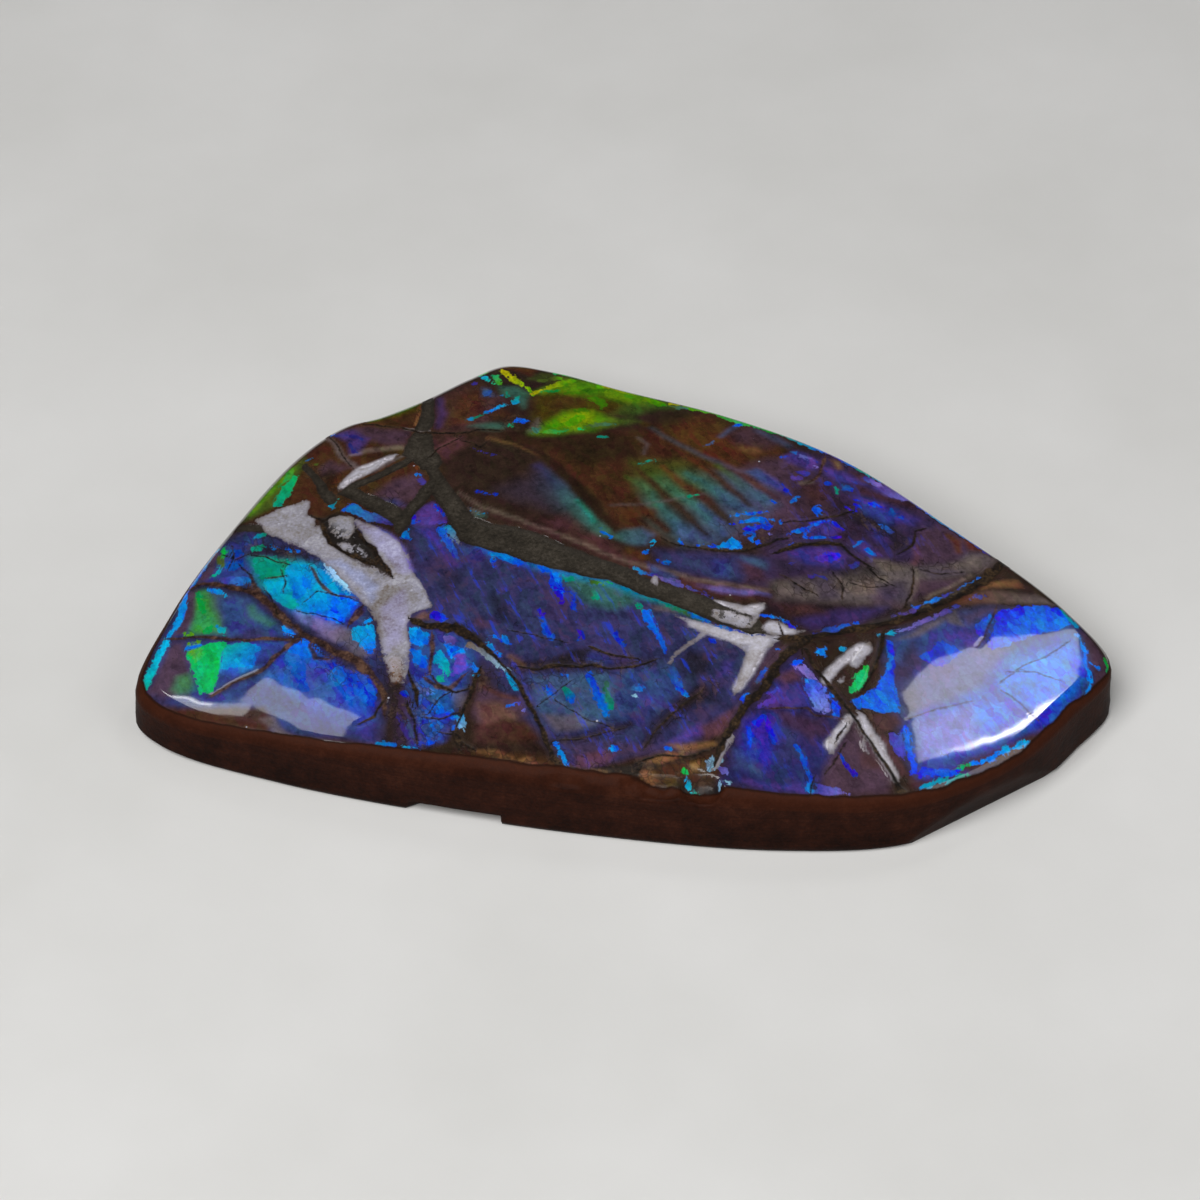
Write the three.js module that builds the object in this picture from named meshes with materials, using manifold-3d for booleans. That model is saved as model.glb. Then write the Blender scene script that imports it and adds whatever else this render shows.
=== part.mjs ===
// A polished freeform slab of ammolite: fossil ammonite shell, still bonded to the brown ironstone it lay in.
// It is one natural piece, so it is one closed solid: a domed, polished crown with a rounded rim, channels
// where matrix stone fills the old cracks of the shell, one raised plate of ribbed shell, a sawn wall and
// a flat base. Millimetres, +Z up. The origin is the middle of the base, +X runs along the slab and -Y is
// the side of its long straight edge.
import * as THREE from 'three';
import { ParametricGeometry } from 'three/addons/geometries/ParametricGeometry.js';
import { mergeVertices } from 'three/addons/utils/BufferGeometryUtils.js';
import Module from 'manifold-3d';

// Rim of the slab seen from above, walked anticlockwise from the sharp left corner
const RIM_POINTS = [
  [-66.3, -19.5], [-62, -24.8], [-47, -30.9], [-27, -36.2], [-5, -40.5], [20, -43.3],
  [37.2, -42.1], [51.6, -34.6], [60.2, -25.5], [65.9, -17.3], [61, -8.8], [45.8, 6],
  [31, 19.6], [15.2, 28.7], [0.2, 35.3], [-10.4, 40.8], [-17.5, 43], [-22.8, 39.9],
  [-29.2, 35], [-35.8, 31.3], [-40.4, 29.9], [-46.4, 24.1], [-55.2, 9], [-62.4, -6],
];
const RIM_SLICES = 104;
const CENTRE = new THREE.Vector2(2, -3);

// Crown: a dome with its own bending radius along and across the slab
const CROWN = { height: 15, x: 6.5, y: 5, radiusAlong: 385, radiusAcross: 240 };

// Rounded rim, and the wall below it, as shares of the distance from the centre to the rim
const CROWN_SHARES = [0, 0.14, 0.28, 0.42, 0.56, 0.7, 0.82, 0.9];
const ROUND = { start: 0.955, drop: 1.8, steps: [0, 0.5, 0.8, 0.95, 1] };
const WALL = { flare: 1.006, baseBevel: 0.8, baseShare: 0.994 };

// Channels along the matrix veins: points of the centre line with the vein's width at each
const VEIN_DEPTH = 0.8;
const CRACK_DEPTH = 0.55;
const VEIN_STEP = 3;
const VEINS = {
  mainBand: {
    depth: VEIN_DEPTH,
    route: [[-28.6, 37, 2.6], [-29, 26, 2.2], [-28.5, 20, 2.6], [-25, 12, 3], [-21.5, 5, 4],
      [-12.5, 0.2, 5], [-3, -4.6, 4.4], [6.5, -9, 3.8], [16, -14, 3.2], [21.5, -16.6, 2.4]],
  },
  upperLeftBranch: {
    depth: VEIN_DEPTH,
    route: [[-29, 20.5, 2.4], [-33.5, 18.2, 2.6], [-38.5, 14.5, 2.6], [-42, 11, 2.2]],
  },
  leftArm: {
    depth: VEIN_DEPTH,
    route: [[-52, 9.5, 3.4], [-44.5, 5.5, 3], [-37, -1.5, 4], [-32.5, -8, 6], [-31, -14, 4],
      [-30.6, -21, 2.8], [-30, -27, 1.8]],
  },
  rightArm: {
    depth: VEIN_DEPTH,
    route: [[-40.5, 9, 3], [-35, 4.5, 3], [-31, -1.5, 2.8], [-30, -8, 3]],
  },
  leftCrack: {
    depth: CRACK_DEPTH,
    route: [[-63, -1.8, 1.6], [-55, -3.8, 1.6], [-48.5, -8.5, 1.8], [-41.5, -15.2, 1.8], [-35, -19.8, 1.6],
      [-31.5, -26, 1.4]],
  },
  lowerCrack: {
    depth: CRACK_DEPTH,
    route: [[-29, -12, 1.8], [-22.5, -14.8, 2.2], [-18, -20.5, 1.8], [-13, -26.5, 1.4], [-10.5, -33, 1.4],
      [-6.5, -42, 1.8]],
  },
  rightCrack: {
    depth: VEIN_DEPTH,
    route: [[20, -16.5, 2], [29, -15.6, 1.8], [38.5, -11, 2], [46.5, -5.5, 2.2], [55, 2, 2.4]],
  },
  diagonalCrack: {
    depth: VEIN_DEPTH,
    route: [[23.5, -17.5, 1.8], [18.5, -24.5, 2], [13.8, -32.5, 2], [9.5, -44, 2.2]],
  },
  forkedCrack: {
    depth: CRACK_DEPTH,
    route: [[24, -19, 1.6], [27.5, -26, 1.8], [32.5, -33, 1.8], [37, -44, 2]],
  },
  loopCrack: {
    depth: CRACK_DEPTH,
    route: [[34.5, -14, 1.4], [34.2, -19.5, 1.4], [31.5, -24, 1.4], [29, -28, 1.2]],
  },
};

// Section of a vein's trough: half widths as shares of the vein's own, heights in mm above the crown
const TROUGH = { floor: 0.6, mouth: 1.3, lip: 1.2, cover: 4, capLift: 1.5 };

// Plate of ribbed shell that stands proud of the rest of the crown, short of the far rim
const PLATE = {
  rise: 0.5,
  points: [[-25, 25], [-12, 22.6], [-9, 17], [-5.5, 8.5], [0.5, 1], [8, -1.2], [17, -1], [26, 3.6], [36, 9.5],
    [29.5, 18.5], [14.5, 26.6], [-0.5, 33], [-12, 38], [-17.5, 39.5], [-22.5, 36]],
};

// Broken spots: blunt stones bitten out of the near rim and the near bottom edge
const CHIPS = [
  { at: [3, -42, 10.4], size: [5.5, 2.6, 2] },
  { at: [9.5, -41.6, 9.8], size: [3, 2.2, 1.6] },
  { at: [-9, -40.6, 9.6], size: [4, 1.6, 1.2] },
  { at: [-22.5, -38.8, 0], size: [7, 3, 2] },
];

// Flat ground on the lower edge at the right-hand end
const GROUND_FACET = { at: [47.4, -35.4, 0], turn: 0.573, lean: 0.32, size: [60, 10, 40] };

const POLISHED_SHELL = new THREE.MeshStandardMaterial({ color: 0x2c2a6a, roughness: 0.15, metalness: 0.2 });

const wasm = await Module();
wasm.setup();

// A closed geometry as a solid that can be joined and cut
function solid(geometry) {
  const bare = geometry.clone();
  bare.deleteAttribute('normal');
  bare.deleteAttribute('uv');
  const merged = mergeVertices(bare.index ? bare.toNonIndexed() : bare);
  const corners = merged.index.array;
  const triVerts = [];
  for (let i = 0; i < corners.length; i += 3) {
    const [a, b, c] = corners.slice(i, i + 3);
    if (a !== b && b !== c && c !== a) triVerts.push(a, b, c);
  }
  return new wasm.Manifold(new wasm.Mesh({
    numProp: 3,
    vertProperties: merged.attributes.position.array,
    triVerts: new Uint32Array(triVerts),
  }));
}

// A solid as a geometry with one flat normal for each facet
function facets(body) {
  const mesh = body.getMesh();
  const geometry = new THREE.BufferGeometry();
  geometry.setAttribute('position', new THREE.BufferAttribute(mesh.vertProperties, 3));
  geometry.setIndex(new THREE.BufferAttribute(mesh.triVerts, 1));
  const flat = geometry.toNonIndexed();
  flat.computeVertexNormals();
  return flat;
}

// Height of the polished crown over a point of the plan
function crown(x, y) {
  const along = (x - CROWN.x) ** 2 / (2 * CROWN.radiusAlong);
  const across = (y - CROWN.y) ** 2 / (2 * CROWN.radiusAcross);
  return CROWN.height - along - across;
}

// A smooth line through points of the plan
function planCurve(points, closed) {
  const spots = points.map(([x, y]) => new THREE.Vector3(x, y, 0));
  return new THREE.CatmullRomCurve3(spots, closed, 'centripetal');
}

// The slab before any cut: rings around the centre, from the top of the crown out over the rounded rim,
// down the wall and back under the base. Each ring is the rim drawn in by its own share.
function roughSlab(rise) {
  const rim = planCurve(RIM_POINTS, true);
  const crownRings = CROWN_SHARES.map((share) => ({ share, drop: 0 }));
  const roundRings = ROUND.steps.map((t) => ({
    share: ROUND.start + (1 - ROUND.start) * t,
    drop: ROUND.drop * (1 - Math.sqrt(1 - t * t)),
  }));
  const baseRings = [
    { share: WALL.flare, level: WALL.baseBevel },
    { share: WALL.baseShare, level: 0 },
    { share: 0, level: 0 },
  ];
  const rings = [...crownRings, ...roundRings, ...baseRings];
  const last = rings.length - 1;

  return new ParametricGeometry((u, v, target) => {
    const ring = rings[Math.round(v * last)];
    const edge = rim.getPointAt((1 - u) % 1);
    const x = CENTRE.x + (edge.x - CENTRE.x) * ring.share;
    const y = CENTRE.y + (edge.y - CENTRE.y) * ring.share;
    target.set(x, y, ring.level ?? crown(x, y) - ring.drop + rise);
  }, RIM_SLICES, last);
}

// The cutter for one vein: a flat-floored trough carried along the crown, closed by a cap at each end
function veinCutter({ route, depth }) {
  const { floor, mouth, lip, cover, capLift } = TROUGH;
  const section = [
    [-mouth, lip], [-floor, -depth], [floor, -depth],
    [mouth, lip], [mouth, cover], [-mouth, cover],
  ];
  const line = planCurve(route, false);
  const steps = Math.ceil(line.getLength() / VEIN_STEP);

  return new ParametricGeometry((u, v, target) => {
    const stack = Math.round(v * (steps + 2)) - 1;
    const t = THREE.MathUtils.clamp(stack / steps, 0, 1);
    const centre = line.getPoint(t);
    const heading = line.getTangent(t);
    const place = t * (route.length - 1);
    const before = Math.min(Math.floor(place), route.length - 2);
    const halfWidth = THREE.MathUtils.lerp(route[before][2], route[before + 1][2], place - before) / 2;
    const isCap = stack < 0 || stack > steps;
    const [side, lift] = isCap ? [0, capLift] : section[Math.round(u * section.length) % section.length];
    const x = centre.x - heading.y * side * halfWidth;
    const y = centre.y + heading.x * side * halfWidth;
    target.set(x, y, crown(centre.x, centre.y) + lift);
  }, section.length, steps + 2);
}

// The upright block over the plate of ribbed shell
function plateBlock() {
  const shape = new THREE.Shape(PLATE.points.map(([x, y]) => new THREE.Vector2(x, y)));
  const block = new THREE.ExtrudeGeometry(shape, { depth: CROWN.height, bevelEnabled: false });
  return block.translate(0, 0, CROWN.height / 2);
}

function chipStone({ at, size }) {
  return new THREE.IcosahedronGeometry(1).scale(...size).translate(...at);
}

function groundFacet({ at, turn, lean, size }) {
  const [length, thickness, height] = size;
  const block = new THREE.BoxGeometry(length, thickness, height).translate(0, -thickness / 2, 0);
  return block.rotateX(lean).rotateZ(turn).translate(...at);
}

// The finished slab: the plate is joined on, then the veins, chips and ground facet are cut
function ammoliteSlab() {
  const plate = solid(roughSlab(PLATE.rise)).intersect(solid(plateBlock()));
  let body = solid(roughSlab(0)).add(plate);
  for (const vein of Object.values(VEINS)) {
    body = body.subtract(solid(veinCutter(vein)));
  }
  for (const chip of CHIPS) {
    body = body.subtract(solid(chipStone(chip)));
  }
  body = body.subtract(solid(groundFacet(GROUND_FACET)));

  const slab = new THREE.Mesh(facets(body), POLISHED_SHELL);
  slab.name = 'ammolite_slab';
  return slab;
}

const specimen = new THREE.Group();
specimen.add(ammoliteSlab());

export default specimen;
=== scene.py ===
import bmesh
import bpy
import numpy as np
from math import atan2, cos, pi, radians, sin, tan
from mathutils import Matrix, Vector


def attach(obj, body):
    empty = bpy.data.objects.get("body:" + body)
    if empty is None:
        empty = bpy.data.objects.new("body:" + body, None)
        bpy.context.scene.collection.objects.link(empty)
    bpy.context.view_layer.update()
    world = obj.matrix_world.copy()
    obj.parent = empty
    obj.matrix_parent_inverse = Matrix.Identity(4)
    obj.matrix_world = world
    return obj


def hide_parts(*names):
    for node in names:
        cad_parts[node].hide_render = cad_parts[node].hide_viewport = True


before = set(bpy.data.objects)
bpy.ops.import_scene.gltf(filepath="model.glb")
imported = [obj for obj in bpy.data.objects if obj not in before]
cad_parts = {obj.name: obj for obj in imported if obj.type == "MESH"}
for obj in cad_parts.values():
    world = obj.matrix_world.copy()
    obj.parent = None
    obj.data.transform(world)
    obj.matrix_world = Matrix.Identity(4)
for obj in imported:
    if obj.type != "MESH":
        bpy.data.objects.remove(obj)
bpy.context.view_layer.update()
mm = 0.001                                # the script works in millimetres, the mesh in metres
farAway = 1000.0                          # longer than any gap, where a search for the smallest starts
lattice = np.random.default_rng(7).random((256, 256))
print("frame loaded")


# S-curve from 0 at low to 1 at high: three t squared less two t cubed
def ease(low, high, value):
    t = np.clip((value - low) / (high - low), 0, 1)
    return t * t * (3 - 2 * t)


# Value noise from -1 to 1: random heights at the corners of square cells, blended by the s-curve
def valueNoise(x, y, cell):
    u, v = x / cell + 57.3, y / cell + 91.7
    i, j = np.floor(u).astype(int), np.floor(v).astype(int)
    a, b = ease(0, 1, u - i), ease(0, 1, v - j)
    i, j = i % 256, j % 256
    k, m = (i + 1) % 256, (j + 1) % 256
    near = lattice[i, j] * (1 - a) + lattice[k, j] * a
    far = lattice[i, m] * (1 - a) + lattice[k, m] * a
    return 2 * (near * (1 - b) + far * b) - 1


# Fractal noise: three octaves of value noise, each with half the cell and half the height of the one before
def fractalNoise(x, y, cell):
    octaves = [valueNoise(x + 31 * k, y - 17 * k, cell / 2 ** k) / 2 ** k for k in range(3)]
    return sum(octaves) / 1.75


# Outline and section of the slab, in millimetres
slab = {
    "rim": [
        (-66.2, -19.5), (-62, -24.8), (-47, -30.9), (-27, -36.2), (-5, -40.5), (20, -43.3),
        (37.2, -42.1), (51.6, -34.6), (60.2, -25.5), (65.75, -17.3), (61, -8.8), (45.8, 6),
        (31, 19.6), (15.2, 28.7), (0.2, 35.3), (-10.4, 40.8), (-17.5, 43), (-22.8, 39.9),
        (-29.2, 35), (-35.8, 31.3), (-40.4, 29.9), (-46.4, 24.1), (-55.2, 9), (-62.4, -6)],
    "centre": (2, -3),
    "crown": {"height": 15, "x": 6.5, "y": 5, "radiusAlong": 385, "radiusAcross": 240, "top": 15.48},
    "round": {"start": 0.955, "drop": 1.8},
    "wall": {"flare": 1.006, "bevel": 0.8, "baseShare": 0.994, "grain": (0.07, 3.2),
             "steps": [0.1, 0.22, 0.36, 0.5, 0.64, 0.76, 0.85, 0.93, 1]},
    "columns": 375, "topRows": 222, "baseRows": 5, "columnCrowding": 0.1, "rowCrowding": 0.28,
}

# Where the shell stops short of the rim: points round the outline with the width of bare stone there
shellInset = [
    (-66, -19, 1.3), (-55, -28, 1.5), (-40, -33, 1.7), (-25, -36.6, 1.9), (-8, -40, 2.0), (6, -42, 2.0),
    (20, -43, 1.5), (34, -42.5, 1.4), (42, -40, 1.0), (52, -34, 0.9), (60, -26, 1.2), (65, -19, 0.6),
    (61, -9, 0.2), (46, 6, 0.15), (15, 28, 0.15), (-10, 40, 0.3), (-17, 43, 0.9), (-23, 40, 0.3),
    (-40, 30, 0.3), (-55, 9, 0.2), (-62, -6, 0.9)]
insetStray = (0.3, 2.6)                   # how far that edge strays, and over what length
wander = [(0.45, 4.5), (0.14, 0.9)]       # the same for the edges of colours and veins, broad and fine

# What fills the old cracks: routes of (x, y, width), or the outline of a patch of (x, y)
veins = {
    # grey-brown matrix stone
    "matrix": [
        [(-29, 35), (-29.2, 30), (-29.8, 27), (-30, 21), (-28.2, 18), (-27.2, 15), (-27.2, 12.6),
         (-25, 8), (-23.6, 4), (-22.6, 2), (-21, 1), (-18, -0.4), (-14, -2.6), (-11, -3.6), (-6, -5.8),
         (-2, -7), (0, -8), (4, -10.2), (8, -12.4), (12, -14.6), (17, -16.6), (19.4, -16.6),
         (18.6, -14.8), (17.9, -13.8), (16.3, -12.8), (13.6, -11.7), (11, -10.2), (7, -8.2), (3.6, -6.6),
         (1, -4.8), (-5, -2), (-9.6, 0.8), (-13, 3.2), (-16.6, 4.8), (-18.6, 5.4), (-20.8, 6.6),
         (-21.8, 8.8), (-23.8, 12.4), (-26, 17), (-28, 19.8), (-28.4, 22), (-27.6, 26.4), (-27, 28),
         (-27.4, 35)],
        [(-40.6, 13.6), (-38, 15.6), (-36, 16.6), (-33, 18.8), (-30.4, 20.6), (-29, 20), (-31, 18.4),
         (-34, 16.4), (-37, 14.4), (-39, 12.6)],
        [(-38.2, 13.4, 2.2), (-35, 10.8, 2.6), (-32.6, 8.8, 3), (-31, 6.6, 2.6), (-31.4, 4.8, 1.4)],
        [(-31.4, 6, 2), (-29.4, 9.6, 1.9), (-27.8, 12.4, 1.9), (-26.8, 14.4, 2)],
        [(-31.4, 21.2), (-30.8, 23.6), (-29.9, 26), (-27.4, 26), (-26.8, 22), (-25.4, 18.8),
         (-26.4, 16.8), (-28.6, 17.4), (-29.8, 19.4)],
        [(-45.2, 20.6, 0.9), (-43.6, 17.6, 1.2), (-42.6, 14.6, 1.4), (-41.2, 12.4, 1.8)],
        [(-53.6, 8.2, 1.4), (-51, 7.8, 1.4), (-48.6, 7, 1), (-46.6, 5, 0.8)],
    ],
    # pale calcite, with two painted glints at the end
    "calcite": [
        [(-51.6, 9.4), (-48.6, 11.3), (-45.4, 12.8), (-44.1, 12.5), (-44.4, 9.6), (-43.2, 9.4), (-43, 7),
         (-42, 7.4), (-41.4, 4.6), (-41.2, 3), (-38.5, 1.2), (-36, -0.6), (-34, -2.4), (-32, -4.6),
         (-33.6, -0.6), (-34.6, 2), (-36.2, 3.6), (-37.5, 6.4), (-38, 7.8), (-36.4, 7), (-34, 5),
         (-31.6, 3), (-30, 0), (-29, -4), (-27.4, -7.4), (-26, -10.6), (-28.4, -11.2), (-29.2, -11.6),
         (-29.4, -13), (-28.8, -17), (-28.8, -20), (-29.2, -23.4), (-31.2, -23.4), (-32, -20),
         (-32.8, -16), (-33.4, -12.4), (-35, -9.6), (-36.6, -7.6), (-38, -5), (-39.6, -2.6), (-42.4, 0.4),
         (-46, 3.6), (-49.8, 6.9)],
        [(-40.4, 14), (-40.3, 15.6), (-38.8, 17.6), (-36.6, 18.8), (-34, 20.4), (-32.4, 21.6),
         (-31.8, 21.4), (-34, 19.8), (-35.8, 17.6), (-36.8, 16.6), (-37.2, 17.2), (-39.2, 16)],
        [(6.4, -13.2), (10, -14.6), (14, -16), (17.6, -17), (20.4, -16.6), (21.4, -17.2), (20, -18.2),
         (18.7, -19.5), (17.8, -21.4), (16.5, -23.8), (15.4, -25.6), (13.6, -28), (14.4, -25.2),
         (15.2, -22.8), (16, -20.8), (16.2, -19.8), (14.8, -18.6), (12.6, -17), (9.6, -15.8)],
        [(18.6, -14.8), (19.4, -14.2), (20.6, -14.2), (22, -15.4), (24.2, -15.8), (21.6, -16.8),
         (19.6, -16.4), (18.6, -15.8)],
        [(11.3, -10.3), (14.4, -11.3), (17.4, -11.8), (19, -10.9), (18.6, -11.7), (17.9, -13.8),
         (16.3, -12.8), (13.6, -11.7)],
        [(11.2, -12), (13.4, -12.2), (15.4, -13.2), (17.6, -13.8), (17, -15), (15.4, -15.2), (13, -14.2),
         (11.2, -13.2)],
        [(10.4, -16.6, 0.9), (9.6, -17.6, 0.6), (8.6, -18.6, 0.5), (6.8, -20.2, 0.4), (5.6, -21.8, 0.3)],
        [(25.8, -24.2), (28.2, -21.6), (30.2, -18.8), (31.2, -18), (29.6, -20.8), (27.8, -23.4),
         (26.6, -24.6)],
        [(29.8, -21.4), (30.6, -19.4), (32.6, -17.4), (33, -16.8), (33.1, -18.2), (31.8, -21.2),
         (30.8, -22)],
        [(28.2, -24), (29.4, -23), (29, -24.2), (28.2, -24.6)],
        [(29.8, -29.4), (28.2, -31.6), (26.6, -33.6), (26.2, -34.8), (26.4, -36), (27.2, -36.2),
         (27.8, -34.6), (28.2, -33.4), (29.4, -31.8), (30, -30.6)],
        [(30.6, -32.2), (31.2, -33), (32.4, -35.6), (31.8, -35.4), (31, -34.2)],
        [(30.4, -28.8), (31.4, -29.6), (33.4, -33.8), (34.8, -36.6), (35.4, -39.6), (34.8, -39.8),
         (33, -35.4), (31, -31)],
        [(3.4, -7), (3.8, -5.9), (4.4, -6), (4.6, -6.8), (4.4, -8), (4, -7.4)],
        [(14, -33.6, 0.4), (13, -35.6, 0.8), (12.2, -37.4, 0.9), (11.6, -38.6, 0.7)],
        [(-41.2, 8.4), (-39.6, 9), (-38.2, 8), (-37.4, 5.6), (-38.4, 3.8), (-40.2, 4.6), (-41.2, 6.4)],
        [(-40.2, 3.4), (-38.4, 3.2), (-36.2, 2), (-35, 0), (-36.4, 0.4), (-38.8, 2)],
        # painted glints: two short white highlights along a crack, drawn as pale calcite
        [(-31.4, 27, 0.5), (-30.2, 26.6, 0.5)],
        [(-29.4, 26.3, 0.4), (-27.8, 26.2, 0.5)],
    ],
    # brown seams, where the cracks have healed flush
    "seam": [
        [(-59.8, -2.6, 0.9), (-58, -2.2, 1), (-56, -2.8, 1.1), (-54, -3.6, 1.2), (-52, -4.6, 1.3),
         (-50.4, -5.6, 1.4), (-49, -7, 1.6), (-47.4, -9, 1.6), (-45.6, -11.4, 1.5), (-44, -13.4, 1.4),
         (-42.5, -14.6, 1.5), (-39.5, -17, 1.7), (-36, -19, 1.8), (-33.6, -21.6, 1.5), (-32.2, -25, 1.2),
         (-32, -28.5, 0.6)],
        [(-62.2, -11.8, 0.6), (-59.4, -11.9, 0.7), (-57, -12.3, 0.8), (-55, -12.8, 0.8),
         (-51, -13.8, 0.8), (-49, -13.6, 0.8), (-46, -14.2, 0.8), (-44.8, -14.4, 0.6)],
        [(-44.4, -14.6, 1), (-46.5, -17, 1.2), (-49, -19.4, 1.1), (-51.4, -20.6, 0.8),
         (-55.6, -22.9, 0.5)],
        [(-42.6, -16, 0.8), (-41.6, -18.2, 1.2), (-40, -18.6, 0.5)],
        [(-43, -1.6, 0.6), (-42.2, -3.6, 0.8), (-41, -5.4, 0.8), (-40, -6.8, 0.6), (-36.6, -7.9, 0.35)],
        [(-37, -12.4, 1.2), (-36, -10.4, 1.8), (-35.4, -9.2, 0.5)],
        [(-51.6, -1.6, 0.6), (-50.6, -4, 0.9), (-50, -5.2, 0.8)],
        [(-48.8, -2.6, 0.5), (-46.8, -2.4, 0.4)],
        [(-26, -15.6, 0.7), (-25.8, -19, 0.9), (-26, -22, 0.5)],
        [(-26.4, -23, 0.8), (-25, -24.6, 1), (-23.6, -25.4, 1.1), (-22.6, -24.6, 1), (-21.4, -23, 0.6)],
        [(28.2, 18.4, 0.7), (27.8, 17, 0.7), (27.4, 15.4, 0.7), (26.8, 14, 0.7), (25.8, 13.2, 0.4)],
        [(19.2, -29.2, 0.5), (24, -28.9, 0.6), (25, -30, 0.6), (28.4, -30.4, 0.5)],
        [(50.5, -9.8, 0.5), (50, -11.6, 0.6), (49.2, -13.4, 0.6), (48.6, -15.2, 0.4), (47.6, -16.6, 0.3)],
        [(49.8, -22.8, 0.25), (53, -19.6, 0.25), (56.4, -17.6, 0.25), (60, -14.6, 0.2)],
        [(50, -24, 0.25), (52.6, -26, 0.25), (54.6, -28.6, 0.2)],
        [(51, -20.8, 0.2), (55, -20.4, 0.25), (58.6, -21.6, 0.2)],
        [(37, -29.6, 0.2), (42, -27.4, 0.25), (46, -26.4, 0.2)],
    ],
    # dark open cracks
    "crack": [
        [(-28.8, -12.4, 1.2), (-27, -13.6, 1.5), (-23, -14.4, 1.9), (-21.4, -15.6, 2.3), (-20, -17, 1.8),
         (-18.6, -18.6, 1), (-16.6, -21.4, 0.6), (-14.6, -24.2, 0.8), (-12.8, -28, 0.9),
         (-10.8, -33, 0.9), (-9, -37.6, 0.9), (-7.4, -39.4, 1.2)],
        [(-19.6, -22, 0.5), (-20.4, -25, 0.6), (-21.2, -28, 0.7), (-22.4, -31, 0.5), (-21.6, -33.6, 0.5),
         (-20, -35, 0.4)],
        [(-4.4, -18.8, 0.6), (-3, -19.6, 0.5), (-1, -20.3, 0.5), (1.4, -21, 0.4)],
        [(-14.4, -21.8, 0.3), (-11.6, -22.2, 0.6), (-8.6, -21.6, 1.1), (-6.6, -22, 0.6),
         (-4.4, -21.7, 0.8), (-2, -22.4, 0.4), (1, -22.4, 0.5), (3.6, -21.4, 0.3)],
        [(24.6, -17.2, 1), (22.4, -19, 1.7), (20.4, -21.6, 1.6), (19, -24.4, 1.9), (17.2, -26.8, 2.1),
         (15.6, -29, 1.6), (14.2, -31.6, 1.4), (12.8, -34.8, 1.2), (11.7, -37.8, 0.8)],
        [(20.8, -17.2, 0.7), (23.5, -17.1, 1.3), (28.5, -15.9, 1.3), (33, -14.4, 1.4), (38, -12, 1.5),
         (42, -10, 1.5), (46, -7.4, 1.7), (48, -5.4, 1.7), (50, -3.4, 1.8), (51.8, -1.2, 1.6)],
        [(24.2, -19, 0.8), (25.4, -22, 0.7), (26.6, -24.4, 0.8), (27.6, -26, 1), (29.4, -28.8, 0.8),
         (31.6, -32.4, 0.6), (34, -37, 0.7), (35, -39.4, 0.9), (36, -41.6, 1.4)],
        [(34.8, -15.6, 0.9), (34.4, -18, 0.9), (34, -20, 0.9), (33.2, -22, 0.8), (32.4, -23.4, 0.6),
         (30.6, -25.8, 0.4)],
        [(29, -31.4, 0.35), (28, -33, 0.5), (27.7, -33.8, 0.35)],
        [(24.6, -39.6, 0.3), (24.2, -41, 0.4), (24, -42.6, 0.4)],
        [(41.6, 4.9, 0.35), (40.2, 4.4, 0.5), (39.9, 3, 0.5), (39.4, 1.4, 0.6), (38.4, 0.4, 0.6),
         (37.6, -0.4, 0.4)],
        [(39.4, -3.4, 0.35), (39.3, -6, 0.4), (39, -8, 0.5), (37.6, -10.8, 0.4)],
        [(5.2, 0.7, 0.35), (7.2, -0.6, 0.4), (10, -1, 0.4), (13, -1.4, 0.5), (16.3, -1.5, 0.6),
         (18.8, -0.3, 0.6), (21, 1.1, 0.6), (22.6, 1.6, 0.4)],
        [(22, 4.4, 0.3), (25, 4.9, 0.35), (27.6, 5.7, 0.35), (30.2, 6.8, 0.45), (31.6, 7.4, 0.35)],
        [(20.5, -1.4, 0.8), (22.2, -0.6, 1), (24.7, 0.4, 1.1), (27.4, 0.7, 1), (29.7, 0.4, 0.8),
         (31.3, -1.1, 0.7), (33.6, -3.2, 0.6)],
        [(-42, 7.6, 0.6), (-41.6, 5, 0.8), (-41, 3.4, 0.8), (-39, 1.8, 0.8), (-36.6, 0.2, 0.8),
         (-34.6, -1.4, 0.6)],
        [(-37.2, 5, 0.5), (-36, 3, 0.7), (-34.6, 1.6, 0.9), (-33.8, -0.8, 1), (-32.6, -3, 0.8),
         (-32, -4.4, 0.5)],
        [(-43.6, 9.4, 0.5), (-42, 8.2, 0.7), (-40.4, 9.4, 0.4)],
        [(-5.6, -40, 1.2), (-1.8, -40.4, 1.4), (1.4, -39.6, 1), (2.4, -37.8, 0.5)],
        [(-35.4, -29.8, 0.4), (-33.4, -28.6, 0.6), (-32.4, -26.4, 0.6)],
        [(-28.8, -21.8, 0.5), (-28.2, -24.4, 0.8), (-27.8, -27, 0.6)],
        [(-25.6, -22.6, 0.4), (-24.6, -24.8, 0.6), (-22.4, -25.8, 0.5), (-20.4, -25, 0.4)],
        [(-22.8, -25.6, 0.3), (-24.6, -26.7, 0.4), (-26.2, -28.6, 0.3)],
        [(-26.6, -29.4, 0.3), (-24.2, -29.6, 0.4), (-22.2, -28.8, 0.5)],
        [(-24.4, -31.8, 0.3), (-22.6, -32.2, 0.5), (-21.8, -34.6, 0.4)],
        [(-29, -27, 0.7), (-28.2, -29.4, 0.5), (-27.4, -33.4, 0.4)],
        [(20.8, -15, 0.35), (21.2, -16, 0.4), (21.4, -17.4, 0.4)],
        [(-37, 29.2, 0.3), (-34, 28.2, 0.4), (-30.4, 26.6, 0.5), (-27, 25.6, 0.6), (-24, 25, 0.6),
         (-20.4, 25.4, 0.4), (-17.4, 25, 0.3)],
        # hairlines
        [(-27.4, 20.4, 0.3), (-25.6, 22.6, 0.35), (-23.6, 24, 0.3)],
        [(-24, 23.6, 0.2), (-21.4, 22.6, 0.4), (-20.4, 21.4, 0.5), (-19.4, 22.8, 0.3)],
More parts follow.
